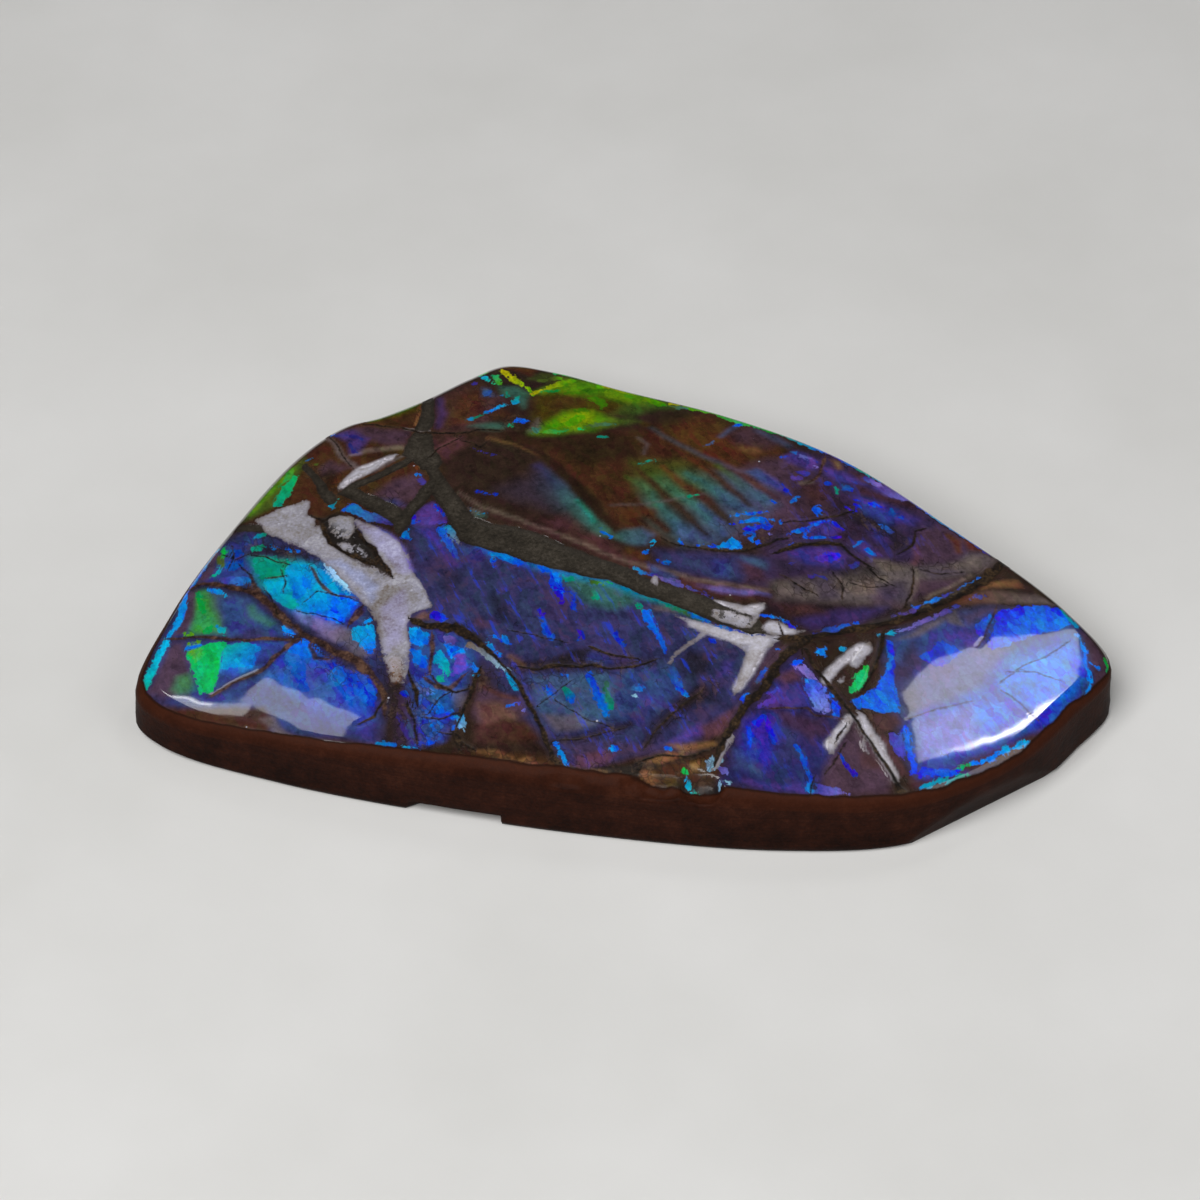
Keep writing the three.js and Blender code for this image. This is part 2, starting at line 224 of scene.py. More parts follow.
        [(-38.4, 18.6, 0.2), (-39.6, 21.4, 0.3), (-41.6, 25.6, 0.3), (-42.2, 27.4, 0.2)],
        [(-55.4, 3, 0.2), (-53.6, 2, 0.35), (-52.2, 2.6, 0.2)],
        [(-54.4, 4.4, 0.2), (-54, 2.4, 0.35), (-54.6, 0, 0.2)],
        [(-53.2, 1, 0.2), (-52.4, -0.6, 0.35), (-51.4, -1.6, 0.2)],
        [(-51.4, 2.2, 0.3), (-49.6, 1.6, 0.4), (-48, 0.4, 0.3), (-46.4, -0.4, 0.3)],
        [(-47.2, -1.4, 0.2), (-46.6, -3.4, 0.3), (-46.8, -5.4, 0.2)],
        [(-49, -5.2, 0.2), (-48, -7.4, 0.3), (-47, -10.4, 0.3), (-45.6, -11.2, 0.2)],
        [(-44.4, -9.4, 0.3), (-42.4, -9.9, 0.3), (-40, -11.2, 0.3), (-38, -12.4, 0.2)],
        [(-43.8, -7.6, 0.2), (-42.2, -5.6, 0.2), (-39.6, -6.8, 0.25), (-36.4, -8.4, 0.2)],
        [(-11.4, -28, 0.2), (-9.4, -26, 0.25), (-7.2, -24.2, 0.2)],
        [(-15.6, -15.4, 0.2), (-12, -16.2, 0.25), (-8, -17.6, 0.2)],
        [(-9.4, -27.4, 0.2), (-5.6, -30.4, 0.25), (-2, -32.2, 0.3)],
        [(2.6, -35.4, 0.2), (4.4, -32.2, 0.3), (7, -29, 0.4), (10, -26, 0.2)],
        [(-9.6, -34.2, 0.2), (-5, -33.4, 0.3), (0, -32.4, 0.2)],
        [(1.6, -37.8, 0.4), (4.4, -36.4, 0.4), (8, -36.6, 0.5), (11, -36, 0.3)],
        [(26.2, -39, 0.3), (27.8, -36, 0.3), (29, -34, 0.2)],
        [(21.4, -5.8, 0.3), (23.6, -7.6, 0.4), (26, -9.2, 0.3)],
        [(28.6, -4.8, 0.3), (29.6, -7, 0.4), (29.2, -9.6, 0.3)],
        [(33.2, -3.4, 0.4), (34.4, -5.4, 0.4), (36.2, -6.8, 0.3)],
        [(30.6, -6.6, 0.2), (33, -7.4, 0.3), (35.6, -7, 0.2)],
        [(40.6, -3.6, 0.2), (43, -4, 0.3), (46, -3.4, 0.2)],
    ],
}

# Colours of the shell by name, as a screen shows them
colours = {
    "azure": (0, 118, 244), "cobalt": (14, 70, 232), "cyan": (0, 160, 222), "ice": (140, 190, 222),
    "teal": (0, 168, 138), "emerald": (0, 188, 96), "lime": (96, 174, 0), "gold": (204, 200, 0),
    "olive": (76, 64, 8), "moss": (72, 94, 30), "sage": (58, 112, 96), "steel": (66, 92, 132),
    "slate": (46, 62, 130), "navy": (40, 39, 98), "dusk": (52, 52, 96), "indigo": (54, 52, 158),
    "violet": (82, 60, 150), "lilac": (126, 116, 208), "mauve": (76, 54, 70), "plum": (58, 43, 78),
    "smoke": (60, 50, 66), "wine": (42, 28, 34), "maroon": (75, 43, 44), "rose": (96, 58, 66),
    "bark": (50, 34, 27), "umber": (42, 28, 17), "brown": (70, 43, 23), "rust": (94, 53, 25),
    "tan": (128, 88, 54), "beige": (126, 111, 97), "chalkAndReflection": (206, 202, 212), "stone": (107, 96, 97),
    "ink": (32, 28, 26)}

# Soft washes of colour, the later ones over the earlier: colour or pair of colours from end to end, amount,
# blur, then a streak of (x, y, width) or the outline of a patch of (x, y)
washes = [
    # ground of each part of the shell
    ("dusk", 1, 1.6, [(-30, 9), (-24, 3), (-12, -3), (0, -8), (10, -14), (20, -18), (14, -30), (8, -36),
        (-6, -39), (-14, -30), (-20, -20), (-29, -12)]),
    ("slate", 1, 2, [(-65, -20), (-62, -8), (-57.6, 4), (-52, 7), (-44, 2), (-36, -8), (-32, -20),
        (-33, -33), (-48, -29), (-60, -24)]),
    ("brown", 1, 2, [(-54, 10), (-47, 23), (-40, 29), (-30, 34), (-27, 26), (-26, 16), (-29, 11), (-34, 8),
        (-42, 9)]),
    ("rose", 0.5, 2, [(-27, 25), (-26, 34), (-22, 38), (-17, 33), (-20, 26)]),
    ("brown", 0.7, 1.5, [(-27, 26.6), (-26, 34), (-22, 38.6), (-18, 36), (-22, 30), (-23.6, 26.6)]),
    ("brown", 1, 2, [(-27, 25), (-12, 23), (2, 24.6), (12, 28.6), (22, 23.6), (24, 17), (12, 11), (2, 8),
        (-5, 9), (-9.4, 16), (-13, 21)]),
    ("umber", 0.8, 1.8, [(-20, 25), (-14, 25), (-6, 24), (0, 23.6), (2.6, 19), (1.6, 17.4), (-6, 16.6),
        (-10, 19.6), (-16, 22.6)]),
    ("rust", 0.6, 2, [(4, 24), (10, 27), (14, 24), (17, 20), (13, 17), (9, 19)]),
    ("umber", 0.7, 1.5, [(4, 26.4), (6, 29), (9.4, 28.6), (8.6, 26), (6, 25)]),
    ("mauve", 0.6, 1.5, [(14.6, 24.4), (18, 25.6), (22.6, 22), (20, 20.6), (16, 21.4)]),
    ("steel", 0.5, 0.9, [(18.6, 24.8), (21, 23.6), (23.6, 21.4), (23, 20.8), (19, 24)]),
    ("bark", 1, 1.4, [(-27, 24), (-20, 24.6), (-13, 20.6), (-9, 14), (-5, 6), (0, 0), (2, -3), (-4, -1),
        (-12, 4), (-20, 8.6), (-24, 12.6)]),
    ("smoke", 0.6, 1.8, [(-18, 12), (-13, 15), (-8.6, 12.6), (-5.6, 6.6), (-10, 7), (-15, 9.6)]),
    ("brown", 1, 1.5, [(-4, 9), (-1, 13), (6, 15), (12, 12), (14, 6), (12, 0), (6, 0.6), (1, 2), (-2, 4)]),
    ("mauve", 1, 1.5, [(14, 14), (20, 18), (26, 19), (28, 14), (30, 8), (24, 4), (15, 0), (13, 5)]),
    ("maroon", 0.9, 1, [(-11, 5), (-8, 6.6), (-4, 3), (0, -2), (1.6, -3.6), (-2, -2), (-6, 0.6), (-9, 3)]),
    ("maroon", 1, 1, [(-21, 8.6), (-14, 4.6), (-6, 1), (2, -3.4), (8, -6), (19, -8.4), (20, -11), (10, -9),
        (-2, -3), (-10, 2)]),
    ("rust", 0.7, 0.7, [(0.4, -1.6, 1), (2.4, -2.6, 1.2)]),
    ("dusk", 1, 1.2, [(4, -1.4), (14, -2), (19.6, -3), (20, -6), (19, -7.6), (12, -7), (5, -4.6)]),
    ("maroon", 0.8, 1, [(15.4, -3.4), (19, -4.4), (19.4, -7.4), (16.6, -7.4)]),
    ("plum", 1, 2, [(24, 20), (30, 19), (42, 8), (50, 0), (44, -2), (33, -2.6), (28, -6), (20, -6),
        (19, -1), (22, 3), (30, 7), (27, 14)]),
    ("wine", 1, 1.4, [(19, -10), (36.6, -11), (37, -12), (30, -15), (24, -16.4), (18, -12)]),
    ("slate", 1, 1.6, [(37, -15), (46, -11), (50, -10), (61, -9.6), (63, -20), (58, -29), (48, -36),
        (38, -39.6), (35.4, -28), (35, -18)]),
    ("navy", 1, 2, [(22.4, -20), (28, -28), (28, -36), (24, -42), (12.6, -40.6), (15.6, -31), (19, -25)]),
    ("mauve", 1, 1, [(27, -36), (30, -31), (34.6, -38), (34, -41.6), (26, -42.4), (26, -38)]),
    # left end
    ("moss slate", 0.8, 1.2, [(-58.8, -3.6), (-55, -4.6), (-51, -7), (-48, -11.6), (-52, -13),
        (-59.6, -11.6)]),
    ("azure", 0.5, 1.2, [(-53.6, -14.6), (-46, -15), (-42, -15.6), (-40, -18.6), (-33, -22.6), (-34, -29),
        (-40, -28), (-48, -20.6), (-54.6, -18.6)]),
    ("teal azure", 0.9, 1, [(-52, 2), (-46, 1), (-42, -1), (-37, -7), (-36, -10), (-39.4, -13),
        (-44.4, -10), (-49.6, -4.6)]),
    ("umber", 0.8, 0.8, [(-55, 4), (-52.6, 3.4), (-50, 4.8), (-46, 3.2), (-43.6, 1.2), (-43, -0.4),
        (-46, 0.4), (-48, 1.2), (-52, 2)]),
    ("umber", 0.8, 0.7, [(-60, -2.6, 1.6), (-56, -2.8, 1.8), (-50.4, -5.6, 2.2), (-45.6, -11.4, 2.4),
        (-42.5, -14.6, 2.4), (-36, -19.2, 2.6), (-32.6, -25, 2)]),
    ("umber", 0.7, 0.6, [(-62.2, -11.8, 1), (-55, -12.8, 1.3), (-49, -13.8, 1.3), (-44.8, -14.4, 1.4)]),
    ("umber", 0.7, 0.6, [(-44.4, -14.6, 1.6), (-49, -19.4, 1.8), (-55.6, -22.9, 1)]),
    ("moss", 0.7, 0.8, [(-58.6, -3.6), (-57.4, -3.8), (-55.2, -9), (-54.4, -11.8), (-59.4, -11.4),
        (-59.4, -8)]),
    ("emerald", 0.5, 1, [(-58.6, -4), (-57.6, -3.8), (-56, -9), (-55, -11.6), (-59, -11.2), (-59.2, -8)]),
    ("slate", 0.9, 0.8, [(-55.6, -5.4), (-53, -6), (-52, -8), (-51.6, -12), (-53.6, -12.6), (-54.6, -11)]),
    ("sage", 0.8, 0.5, [(-51.8, -7.4), (-50.6, -7.6), (-49.6, -9), (-47.4, -11.2), (-48, -12),
        (-49.6, -10.6), (-51, -9.4)]),
    ("dusk", 0.9, 0.5, [(-51.6, -12), (-49.6, -11.6), (-47.6, -13), (-49.4, -13.4), (-51.6, -13.2)]),
    ("mauve", 0.9, 0.5, [(-60.2, -3), (-58.6, -3.4), (-58.8, -7), (-59.8, -11), (-61.4, -11.4), (-61, -8)]),
    ("mauve", 0.9, 0.5, [(-56.8, 4.2), (-55.8, 3.6), (-56.4, 0), (-57.4, -1.4), (-59, -2), (-57.6, 2.4)]),
    ("mauve", 0.95, 0.8, [(-61.6, -12.4), (-60, -12.6), (-58.8, -17), (-58, -20), (-58.6, -22.4),
        (-62, -22.4), (-64.6, -20.8), (-62.6, -15)]),
    ("emerald", 0.3, 0.9, [(-60.4, -19), (-58.6, -18.4), (-57.6, -21.8), (-60, -22.4), (-61.2, -21)]),
    ("slate", 0.9, 0.5, [(-49, -15.2), (-46, -14.8), (-45.2, -15.4), (-46.4, -16.6), (-48.4, -18.4),
        (-50, -19), (-50, -17.6)]),
    ("steel indigo", 0.7, 1, [(-49, -20.4), (-46, -18.8), (-43.6, -23), (-41, -27), (-38, -29),
        (-36, -27.4), (-38.6, -24), (-41, -20), (-44, -19.4)]),
    ("lilac beige", 0.7, 0.6, [(-45, -9.4), (-43, -9.8), (-39, -12.4), (-36.4, -14), (-37.4, -15.6),
        (-39, -15.6), (-41, -14.2), (-44.6, -10.6)]),
    ("beige", 0.5, 0.6, [(-38, -16), (-36.6, -14.6), (-33.8, -16.4), (-33.6, -18), (-35, -18.6),
        (-36.6, -17.8)]),
    ("brown", 0.95, 0.7, [(-63, -23.4), (-57, -24.8), (-48, -25.6), (-46.6, -28), (-47.4, -30),
        (-54, -28.6), (-61, -25.8)]),
    ("brown", 0.8, 0.7, [(-46, -30.6, 1.6), (-40, -32.4, 1.6), (-30, -35, 1.8)]),
    ("stone", 0.7, 0.5, [(-48.4, -27.6), (-46.8, -27.4), (-44, -31), (-46, -30.6)]),
    ("ink", 0.95, 0.5, [(-42.4, 8.6), (-40, 9.6), (-37.6, 7.6), (-36, 3.6), (-34.4, 0.6), (-32.4, -4),
        (-36, -0.4), (-40.6, 3.2), (-42, 5.4)]),
    ("slate azure", 0.6, 1.2, [(-29, -13), (-22, -15), (-20, -20), (-21.6, -25), (-24, -33), (-28, -34),
        (-29, -24)]),
    ("umber", 0.5, 0.8, [(-33, -19, 2), (-31.2, -26, 1.2), (-31.4, -32, 0.8)]),
    ("plum", 0.6, 0.8, [(-30.6, -24.6), (-28.4, -24.6), (-27.2, -33), (-30.6, -33.4)]),
    # tints that show through the pale calcite
    ("umber", 0.8, 0.6, [(-51.6, 9.4), (-48.6, 11.3), (-45.4, 12.8), (-44, 10), (-43, 7), (-45.6, 6)]),
    ("lilac", 0.9, 0.5, [(-37.6, 7.2), (-34, 5), (-31.6, 3), (-30, 0), (-29, -4), (-31, -4), (-33, 0),
        (-35, 3)]),
    ("azure", 0.6, 0.6, [(-41, -0.6), (-38.6, -2), (-36, -5.6), (-34.4, -9), (-33.6, -6), (-36, -2.6),
        (-39, 0)]),
    ("lilac", 0.8, 0.7, [(-33, -10), (-30.4, -7), (-29.6, -11), (-29.6, -16), (-31.6, -18)]),
    ("tan", 0.8, 0.5, [(-30.8, -19.6, 1.6), (-30.4, -22.6, 1.4)]),
    # near-white streaks on the calcite veins: partly their own pale colour, partly a painted reflection of
    # the softbox
    ("chalkAndReflection", 1, 0.4, [(9, -15, 1), (14, -16.8, 2), (18.4, -17.6, 2.4), (17.2, -21, 2), (14.6, -26, 0.8)]),
    ("chalkAndReflection", 1, 0.4, [(12, -11.4, 1.4), (16, -12.8, 2), (18.4, -11.6, 0.8)]),
    ("chalkAndReflection", 1, 0.4, [(19.6, -15.2, 1.4), (22.6, -16, 0.8)]),
    ("chalkAndReflection", 1, 0.4, [(26.4, -24, 1), (29, -20.6, 1.2), (32, -18.6, 2)]),
    ("chalkAndReflection", 1, 0.4, [(29.6, -30.2, 1), (26.8, -34.6, 1.4)]),
    ("chalkAndReflection", 1, 0.4, [(31, -30.4, 1), (33.4, -34.4, 1.4), (35, -39, 0.8)]),
    # top left
    ("moss", 0.9, 0.7, [(-53.6, 9.6), (-50.5, 14.6), (-47.5, 19.6), (-45.8, 22.8), (-45.4, 20),
        (-46.6, 17.4), (-48, 14), (-49.6, 11.6), (-52, 10)]),
    ("lime", 0.55, 0.6, [(-52.6, 11, 0.8), (-50, 15.4, 1.2), (-47, 20, 1)]),
    ("mauve", 0.7, 0.7, [(-43, 19.4), (-41.6, 21), (-38.6, 18.8), (-41, 17.6), (-42.6, 17.6)]),
    ("rust", 0.7, 0.5, [(-41.6, 15), (-40.4, 15.2), (-40.2, 17.2), (-41.8, 16.4)]),
    ("stone", 0.7, 0.35, [(-42.2, 26.4, 0.7), (-40, 21.8, 0.9), (-38, 18.8, 0.7)]),
    ("mauve", 0.8, 0.8, [(-41.8, 27.6), (-39.6, 28.4), (-36.6, 28.4), (-30.4, 26.2), (-30.6, 23.6),
        (-33, 23.4), (-40, 26.6)]),
    ("beige", 0.6, 0.35, [(-38.6, 21.8, 0.7), (-36.6, 22.6, 0.9), (-31.6, 23, 0.9), (-30.4, 22.4, 0.6)]),
    ("stone", 0.6, 0.3, [(-35.6, 17.6, 0.5), (-33.8, 19, 0.6), (-30.4, 21.6, 0.5)]),
    ("mauve", 0.9, 1.2, [(-35.4, 12.4), (-32, 15.6), (-28.6, 16.6), (-28.4, 12), (-31, 9.6)]),
    ("maroon", 0.8, 1, [(-28, 25.4), (-23, 24), (-22.4, 22.6), (-25, 18.6), (-28, 21)]),
    ("rose", 0.5, 0.5, [(-27, 21.6), (-25.4, 23.6), (-23.4, 24.4), (-23, 22.6), (-24.6, 20.4)]),
    ("umber", 0.7, 0.6, [(-43, 17), (-41.4, 19.4), (-40, 17.6), (-41.6, 14.6)]),
    ("umber", 0.6, 0.7, [(-37, 21.4), (-33.6, 22.4), (-31.2, 21.6), (-34.4, 20.4)]),
    ("slate", 0.5, 0.6, [(-34.6, 11.8), (-32.2, 11.4), (-30.4, 9.8), (-32.6, 10)]),
    ("olive", 0.9, 0.6, [(-36, 29.6), (-33.6, 30.6), (-28.8, 34.2), (-29.2, 31.6), (-32.4, 29.8)]),
    ("lime", 0.45, 0.6, [(-36, 30, 0.6), (-32.4, 31.6, 1.2), (-29.6, 33.4, 1)]),
    ("violet", 0.6, 0.7, [(-41.4, 27.2), (-38.6, 27.8), (-36.4, 25.4), (-37.4, 22), (-38.6, 22),
        (-39.4, 25)]),
    ("violet", 0.3, 0.6, [(-26.4, 34, 0.8), (-26, 30, 1.2), (-26.4, 27, 0.8)]),
    ("rust", 0.55, 0.9, [(-24.6, 27.4), (-23.4, 34.4), (-20.8, 35.6), (-20.2, 29.4), (-21.6, 27.2)]),
    # near-white streak on the calcite: partly its own pale colour, partly a painted reflection of the
    # softbox
    ("chalkAndReflection", 1, 0.4, [(-39.8, 15, 1), (-37, 18, 1.8), (-33, 20.8, 1)]),
    ("violet", 0.8, 0.5, [(-29.6, 6), (-29, 8), (-28, 9.6), (-26.8, 10.2), (-25, 7.4), (-24.6, 6.2),
        (-27, 4.9)]),
    ("indigo", 0.7, 0.6, [(-28.8, 4.6), (-26.4, 4.6), (-25.4, 2), (-22.4, -3), (-24, -2.6), (-26, 1)]),
    ("slate", 0.7, 0.6, [(-22.6, 0.6), (-20, 0.2), (-18.8, -0.6), (-20, -3.2), (-21.6, -2.4)]),
    ("ink", 0.55, 1.2, [(-24.6, -3), (-22, -4), (-22, -7), (-24, -8), (-25.6, -6)]),
    ("tan", 0.6, 0.4, [(-28.8, -12.2), (-27.6, -11.2), (-26.4, -11.6), (-26.4, -12.8)]),
    # far corner and the green-gold field
    ("olive", 0.95, 1.6, [(-12.6, 33), (-9, 37.6), (-4, 36.4), (4, 32.4), (3, 30), (-2, 28.4), (-4, 25.4),
        (-11, 24.4), (-13, 28)]),
    ("brown", 0.5, 1.4, [(-10, 28.4), (-6, 30.6), (-4.8, 33), (-8, 33.4), (-11, 31.4)]),
    ("lime", 0.6, 1.2, [(-13, 24.2), (-8.4, 29), (-4.6, 29), (-0.6, 26.6), (-4, 24.4), (-9, 23.8)]),
    ("gold", 0.3, 1.3, [(-9, 26), (-7.4, 28.6), (-4.6, 28.6), (-4.4, 26.6), (-7, 25)]),
    ("lime", 0.55, 1.2, [(-13, 34), (-8, 37.6), (-3, 36), (3, 33), (6, 31), (2, 30), (-3, 32.6), (-9, 34)]),
    ("moss", 0.7, 1, [(0, 30.4), (3, 31), (8.4, 30.4), (7.4, 29.4), (4, 29.2), (1, 28), (-1.6, 28.4)]),
    ("moss", 0.7, 0.9, [(-5.4, 25.2), (-2.4, 26.6), (1, 27.6), (2, 26.4), (-0.6, 25.6), (-4, 24.8)]),
    ("sage", 0.7, 0.8, [(-18, 36.6), (-15.4, 36), (-13.6, 34), (-14.4, 30), (-15.6, 33), (-17.6, 34)]),
    ("steel", 0.7, 0.6, [(-20.4, 36.4), (-19.4, 36), (-18.6, 33.8), (-20.4, 34)]),
    ("sage", 0.6, 0.7, [(-22.4, 26.6), (-19, 26.8), (-16.8, 26), (-17.4, 25.2), (-20, 25.4)]),
    ("brown", 0.8, 0.8, [(-20, 29), (-17.6, 30.4), (-15.6, 28), (-19, 27.4)]),
    ("stone", 0.6, 0.6, [(-13.4, 24.2), (-12.2, 27.6), (-11.6, 25)]),
    ("moss", 0.6, 0.8, [(-14, 38), (-12, 39.6), (-8.6, 38.6), (-11, 36.8)]),
    ("rust", 0.8, 0.7, [(-19.4, 41.6), (-17, 42.4), (-12.6, 40.6), (-13.6, 38.8), (-16, 40.6)]),
    ("tan", 0.5, 0.3, [(-19.4, 23.7, 0.4), (-15.4, 21.8, 0.5), (-11, 18.2, 0.4)]),
    ("stone", 0.5, 0.4, [(2, 22.6, 0.4), (3.2, 21, 0.5), (2.8, 18.8, 0.4)]),
    ("olive", 0.6, 0.5, [(2.6, 26, 0.8), (5.6, 23, 0.9), (9.2, 19.8, 1), (13, 16.4, 1)]),
    ("steel", 0.6, 0.5, [(13.8, 23, 0.5), (14.8, 24.4, 0.6), (16, 25.6, 0.6)]),
    ("tan", 0.6, 0.6, [(16.6, 20.4, 1), (18.4, 19.8, 1.4)]),
    # ribs of the raised plate, which fan out from the far corner: green at the top and steel blue below
    ("sage steel", 0.5, 1.6, [(2, 13), (8, 15), (14, 14.6), (20, 11.6), (21, 8), (18, 4), (14, 0.6),
        (8, -0.6), (4, 3), (2, 8)]),
    ("moss", 0.6, 2, [(1, 17), (8, 17), (13, 12), (8, 8), (2, 11)]),
    ("moss sage", 0.85, 0.5, [(3.6, 14.6, 0.7), (5.2, 12.8, 1.3), (6.9, 11, 1.4), (8.3, 9.4, 1.2)]),
    ("sage steel", 0.85, 0.5, [(8.3, 9.2, 1.2), (9.7, 7.6, 1.4), (11, 5.6, 1.5), (12.4, 3.6, 1.6),
        (13.6, 1.7, 1)]),
    ("moss sage", 0.7, 0.5, [(0.2, 13.6, 0.6), (2.2, 12, 1.1), (3.8, 9.7, 1.2), (4.7, 7.8, 1.2)]),
    ("sage steel", 0.75, 0.6, [(4.7, 7.8, 1.1), (6, 5.6, 1.4), (7.4, 3.3, 1.6), (9.1, 1.2, 1.4)]),
    ("sage steel", 0.85, 0.6, [(8.8, 14.4, 0.8), (10.8, 12.5, 1.4), (13.6, 10, 1.7), (15.2, 8, 1.9),
        (17.2, 6.8, 1.6)]),
    ("moss steel", 0.85, 0.6, [(13, 16.2, 0.7), (15.2, 13.4, 1.2), (16.9, 11.4, 1.5), (18.6, 9.7, 1.4),
        (20, 8.3, 0.9)]),
    ("steel indigo", 0.85, 0.6, [(17, 14.8), (18.6, 15.6), (21, 13.4), (23.2, 10.4), (22.4, 10.2),
        (18.6, 13)]),
    ("steel", 0.7, 0.4, [(10.5, 7.5, 0.6), (12.2, 5.6, 0.9), (13.6, 3.9, 0.7)]),
    ("steel", 0.6, 0.9, [(6.4, 4), (10, 4), (13, 0.6), (10, -0.4), (7.6, 0.2)]),
    ("brown umber", 0.9, 0.5, [(1.6, 15.6, 0.8), (3.8, 12.4, 1.2), (6.4, 8.6, 1.4), (9.2, 4.4, 1.4),
        (11.3, 1.5, 0.7)]),
    ("rust umber", 0.9, 0.5, [(5.4, 16, 0.8), (8.4, 12, 1.4), (11.4, 8.8, 1.6), (14, 5.2, 1.3),
        (15, 3.4, 0.7)]),
    ("rust umber", 0.85, 0.5, [(9.4, 17.6, 0.8), (12.4, 14, 1), (14.8, 11.2, 1.2), (17.6, 7.9, 0.8)]),
    ("rust maroon", 0.85, 0.5, [(12.6, 18.6, 0.8), (16.2, 14.6, 1.1), (18.6, 11.8, 1.2), (21, 9.2, 0.7)]),
    ("brown", 0.9, 0.5, [(-0.6, 12, 0.8), (2.6, 7, 1.4), (6, 2.2, 1)]),
    ("steel", 0.3, 0.6, [(3.6, 24.8, 0.6), (8.4, 20.6, 0.9), (13, 17, 0.9), (17.4, 14.2, 0.5)]),
    ("umber", 0.6, 0.4, [(4.4, 9.6, 0.4), (7.4, 5.4, 0.6), (9, 2.8, 0.5)]),
    ("dusk sage", 0.4, 1.6, [(-12.6, 16.5), (-8.6, 13), (-6, 9), (-2.4, 2.2), (-5.4, 3.2), (-9.4, 8),
        (-12, 12)]),
    ("dusk sage", 0.75, 0.8, [(-12.2, 17, 0.8), (-8.8, 12, 1.8), (-7, 8.6, 2.2), (-5.2, 5.4, 2.2),
        (-3, 2.6, 1.8)]),
    ("teal", 0.5, 0.5, [(-6.4, 9.2, 0.5), (-5.4, 7, 0.7), (-4.2, 4.6, 0.7)]),
    # dark brown strip along the raised plate's left edge
    ("umber", 0.95, 0.5, [(-12.6, 20, 0.7), (-9.2, 16, 1.4), (-6.9, 12.4, 1.8), (-4.9, 8.8, 2),
        (-3.3, 5.8, 1.8), (-1.6, 3.2, 1)]),
    ("umber", 0.6, 0.4, [(-3.2, 12.4, 0.4), (-0.4, 8, 0.8), (2.8, 3.6, 0.7)]),
    ("sage steel", 0.7, 0.7, [(-2, 1.6), (0, 2.6), (2.4, 2.8), (4, 1.4), (2.6, -0.4), (1, -0.2),
        (-0.6, 0.6)]),
    ("rust", 0.6, 0.9, [(1, 6, 2), (3.4, 6.2, 1.8)]),
    ("stone", 0.4, 0.3, [(-2, 7.5, 0.3), (5.2, 8.3, 0.4), (11, 10.1, 0.4)]),
    # below the raised plate, down to the matrix band
    # pale line along the film's ledge: partly the film's own pale edge, partly a painted highlight along the
    # ledge
    ("beige", 0.45, 0.35, [(-23, 11.6, 0.3), (-19.6, 8.6, 0.5), (-15.4, 6, 0.5), (-11, 3.2, 0.5),
        (-3, -1.6, 0.5), (1, -3.8, 0.5), (4.7, -4.6, 0.5), (10, -7.2, 0.6), (19, -8.7, 0.5)]),
    ("slate", 0.7, 0.8, [(12, -3.4), (14, -3.4), (14.4, -6.4), (12.4, -6.4)]),
    ("steel", 0.6, 0.6, [(16, -2.6), (17.6, -2.8), (19.4, -4), (19.2, -5), (16.4, -3.6)]),
    ("slate steel", 0.8, 0.4, [(3, -3.6), (5, -4.8), (7.2, -6.4), (7.4, -7.6), (5.6, -7), (3.8, -5.6)]),
    ("lilac", 0.45, 0.4, [(10, -8), (14, -8.4), (19, -9), (19.6, -9.6), (16, -9.6), (12, -9)]),
    ("stone sage", 0.8, 0.4, [(-21.6, 8.6), (-20, 7.8), (-19, 6.6), (-20.6, 6.6)]),
    # grey film at the right
    ("stone", 0.85, 1.5, [(20, -7.4), (24, -6.8), (28, -5.8), (31, -4.6), (34, -3.2), (40, -3), (44, -2),
        (48, 0.4), (51, -0.4), (50, -1.8), (47, -3.6), (40, -6.4), (38.4, -9.8), (31, -10.4), (25, -10),
        (20.6, -9.8)]),
    ("beige", 0.35, 1, [(28.4, -5.6), (32.6, -4.8), (36, -5.4), (35.4, -7.4), (30.4, -8), (28, -7.4)]),
    ("beige", 0.35, 1, [(20.2, -7), (24, -7), (27.4, -8.4), (25, -9.4), (21, -9.4)]),
    ("plum", 0.5, 0.8, [(25.6, -6.6), (28.4, -6), (29, -9.6), (26.4, -10)]),
    ("beige", 0.35, 0.9, [(42, -3.2), (47.6, -0.2), (50, 0), (48, -2.4)]),
    ("mauve", 0.7, 1, [(33, -7.6), (36.4, -8), (37, -10.6), (33.4, -10.4)]),
    ("violet", 0.35, 1, [(23, -13.8), (29, -12), (35.4, -10.8), (31, -14.2), (25, -15.4)]),
    ("maroon", 0.6, 0.9, [(20, -11), (25, -11.2), (27, -12.6), (22, -13)]),
    ("ink", 0.6, 0.7, [(32.4, -3.4), (34.6, -3.6), (35.6, -4.8), (33.8, -5.4)]),
    ("mauve", 0.9, 0.7, [(40.2, -5.4), (46.4, -4.8), (44.6, -6.4), (39, -9.4), (38.8, -8)]),
    ("beige", 0.6, 0.35, [(47.2, -4, 0.5), (43, -7.4, 0.5), (41, -8.8, 0.4)]),
    ("beige", 0.5, 0.35, [(39.8, -3.6, 0.5), (39.8, -7, 0.5), (38.6, -9.4, 0.5)]),
    # upper right
    ("mauve", 0.9, 0.9, [(40.4, 4.4), (44, 5.6), (46.6, 3.2), (46.6, 0.6), (45.4, -1.4), (40.4, -2.4),
        (40.2, 2)]),
    ("rust", 0.8, 0.5, [(44.6, 3.6, 0.8), (45.8, 2.4, 1.3), (46, 0.6, 0.9)]),
    ("rust", 0.8, 0.6, [(46.6, 3.8), (48, 3), (50, 0.6), (47.4, 0.6)]),
    ("ink", 0.5, 0.8, [(29, -4.4), (32.4, -3.2), (33.6, -5.4), (30.6, -6)]),
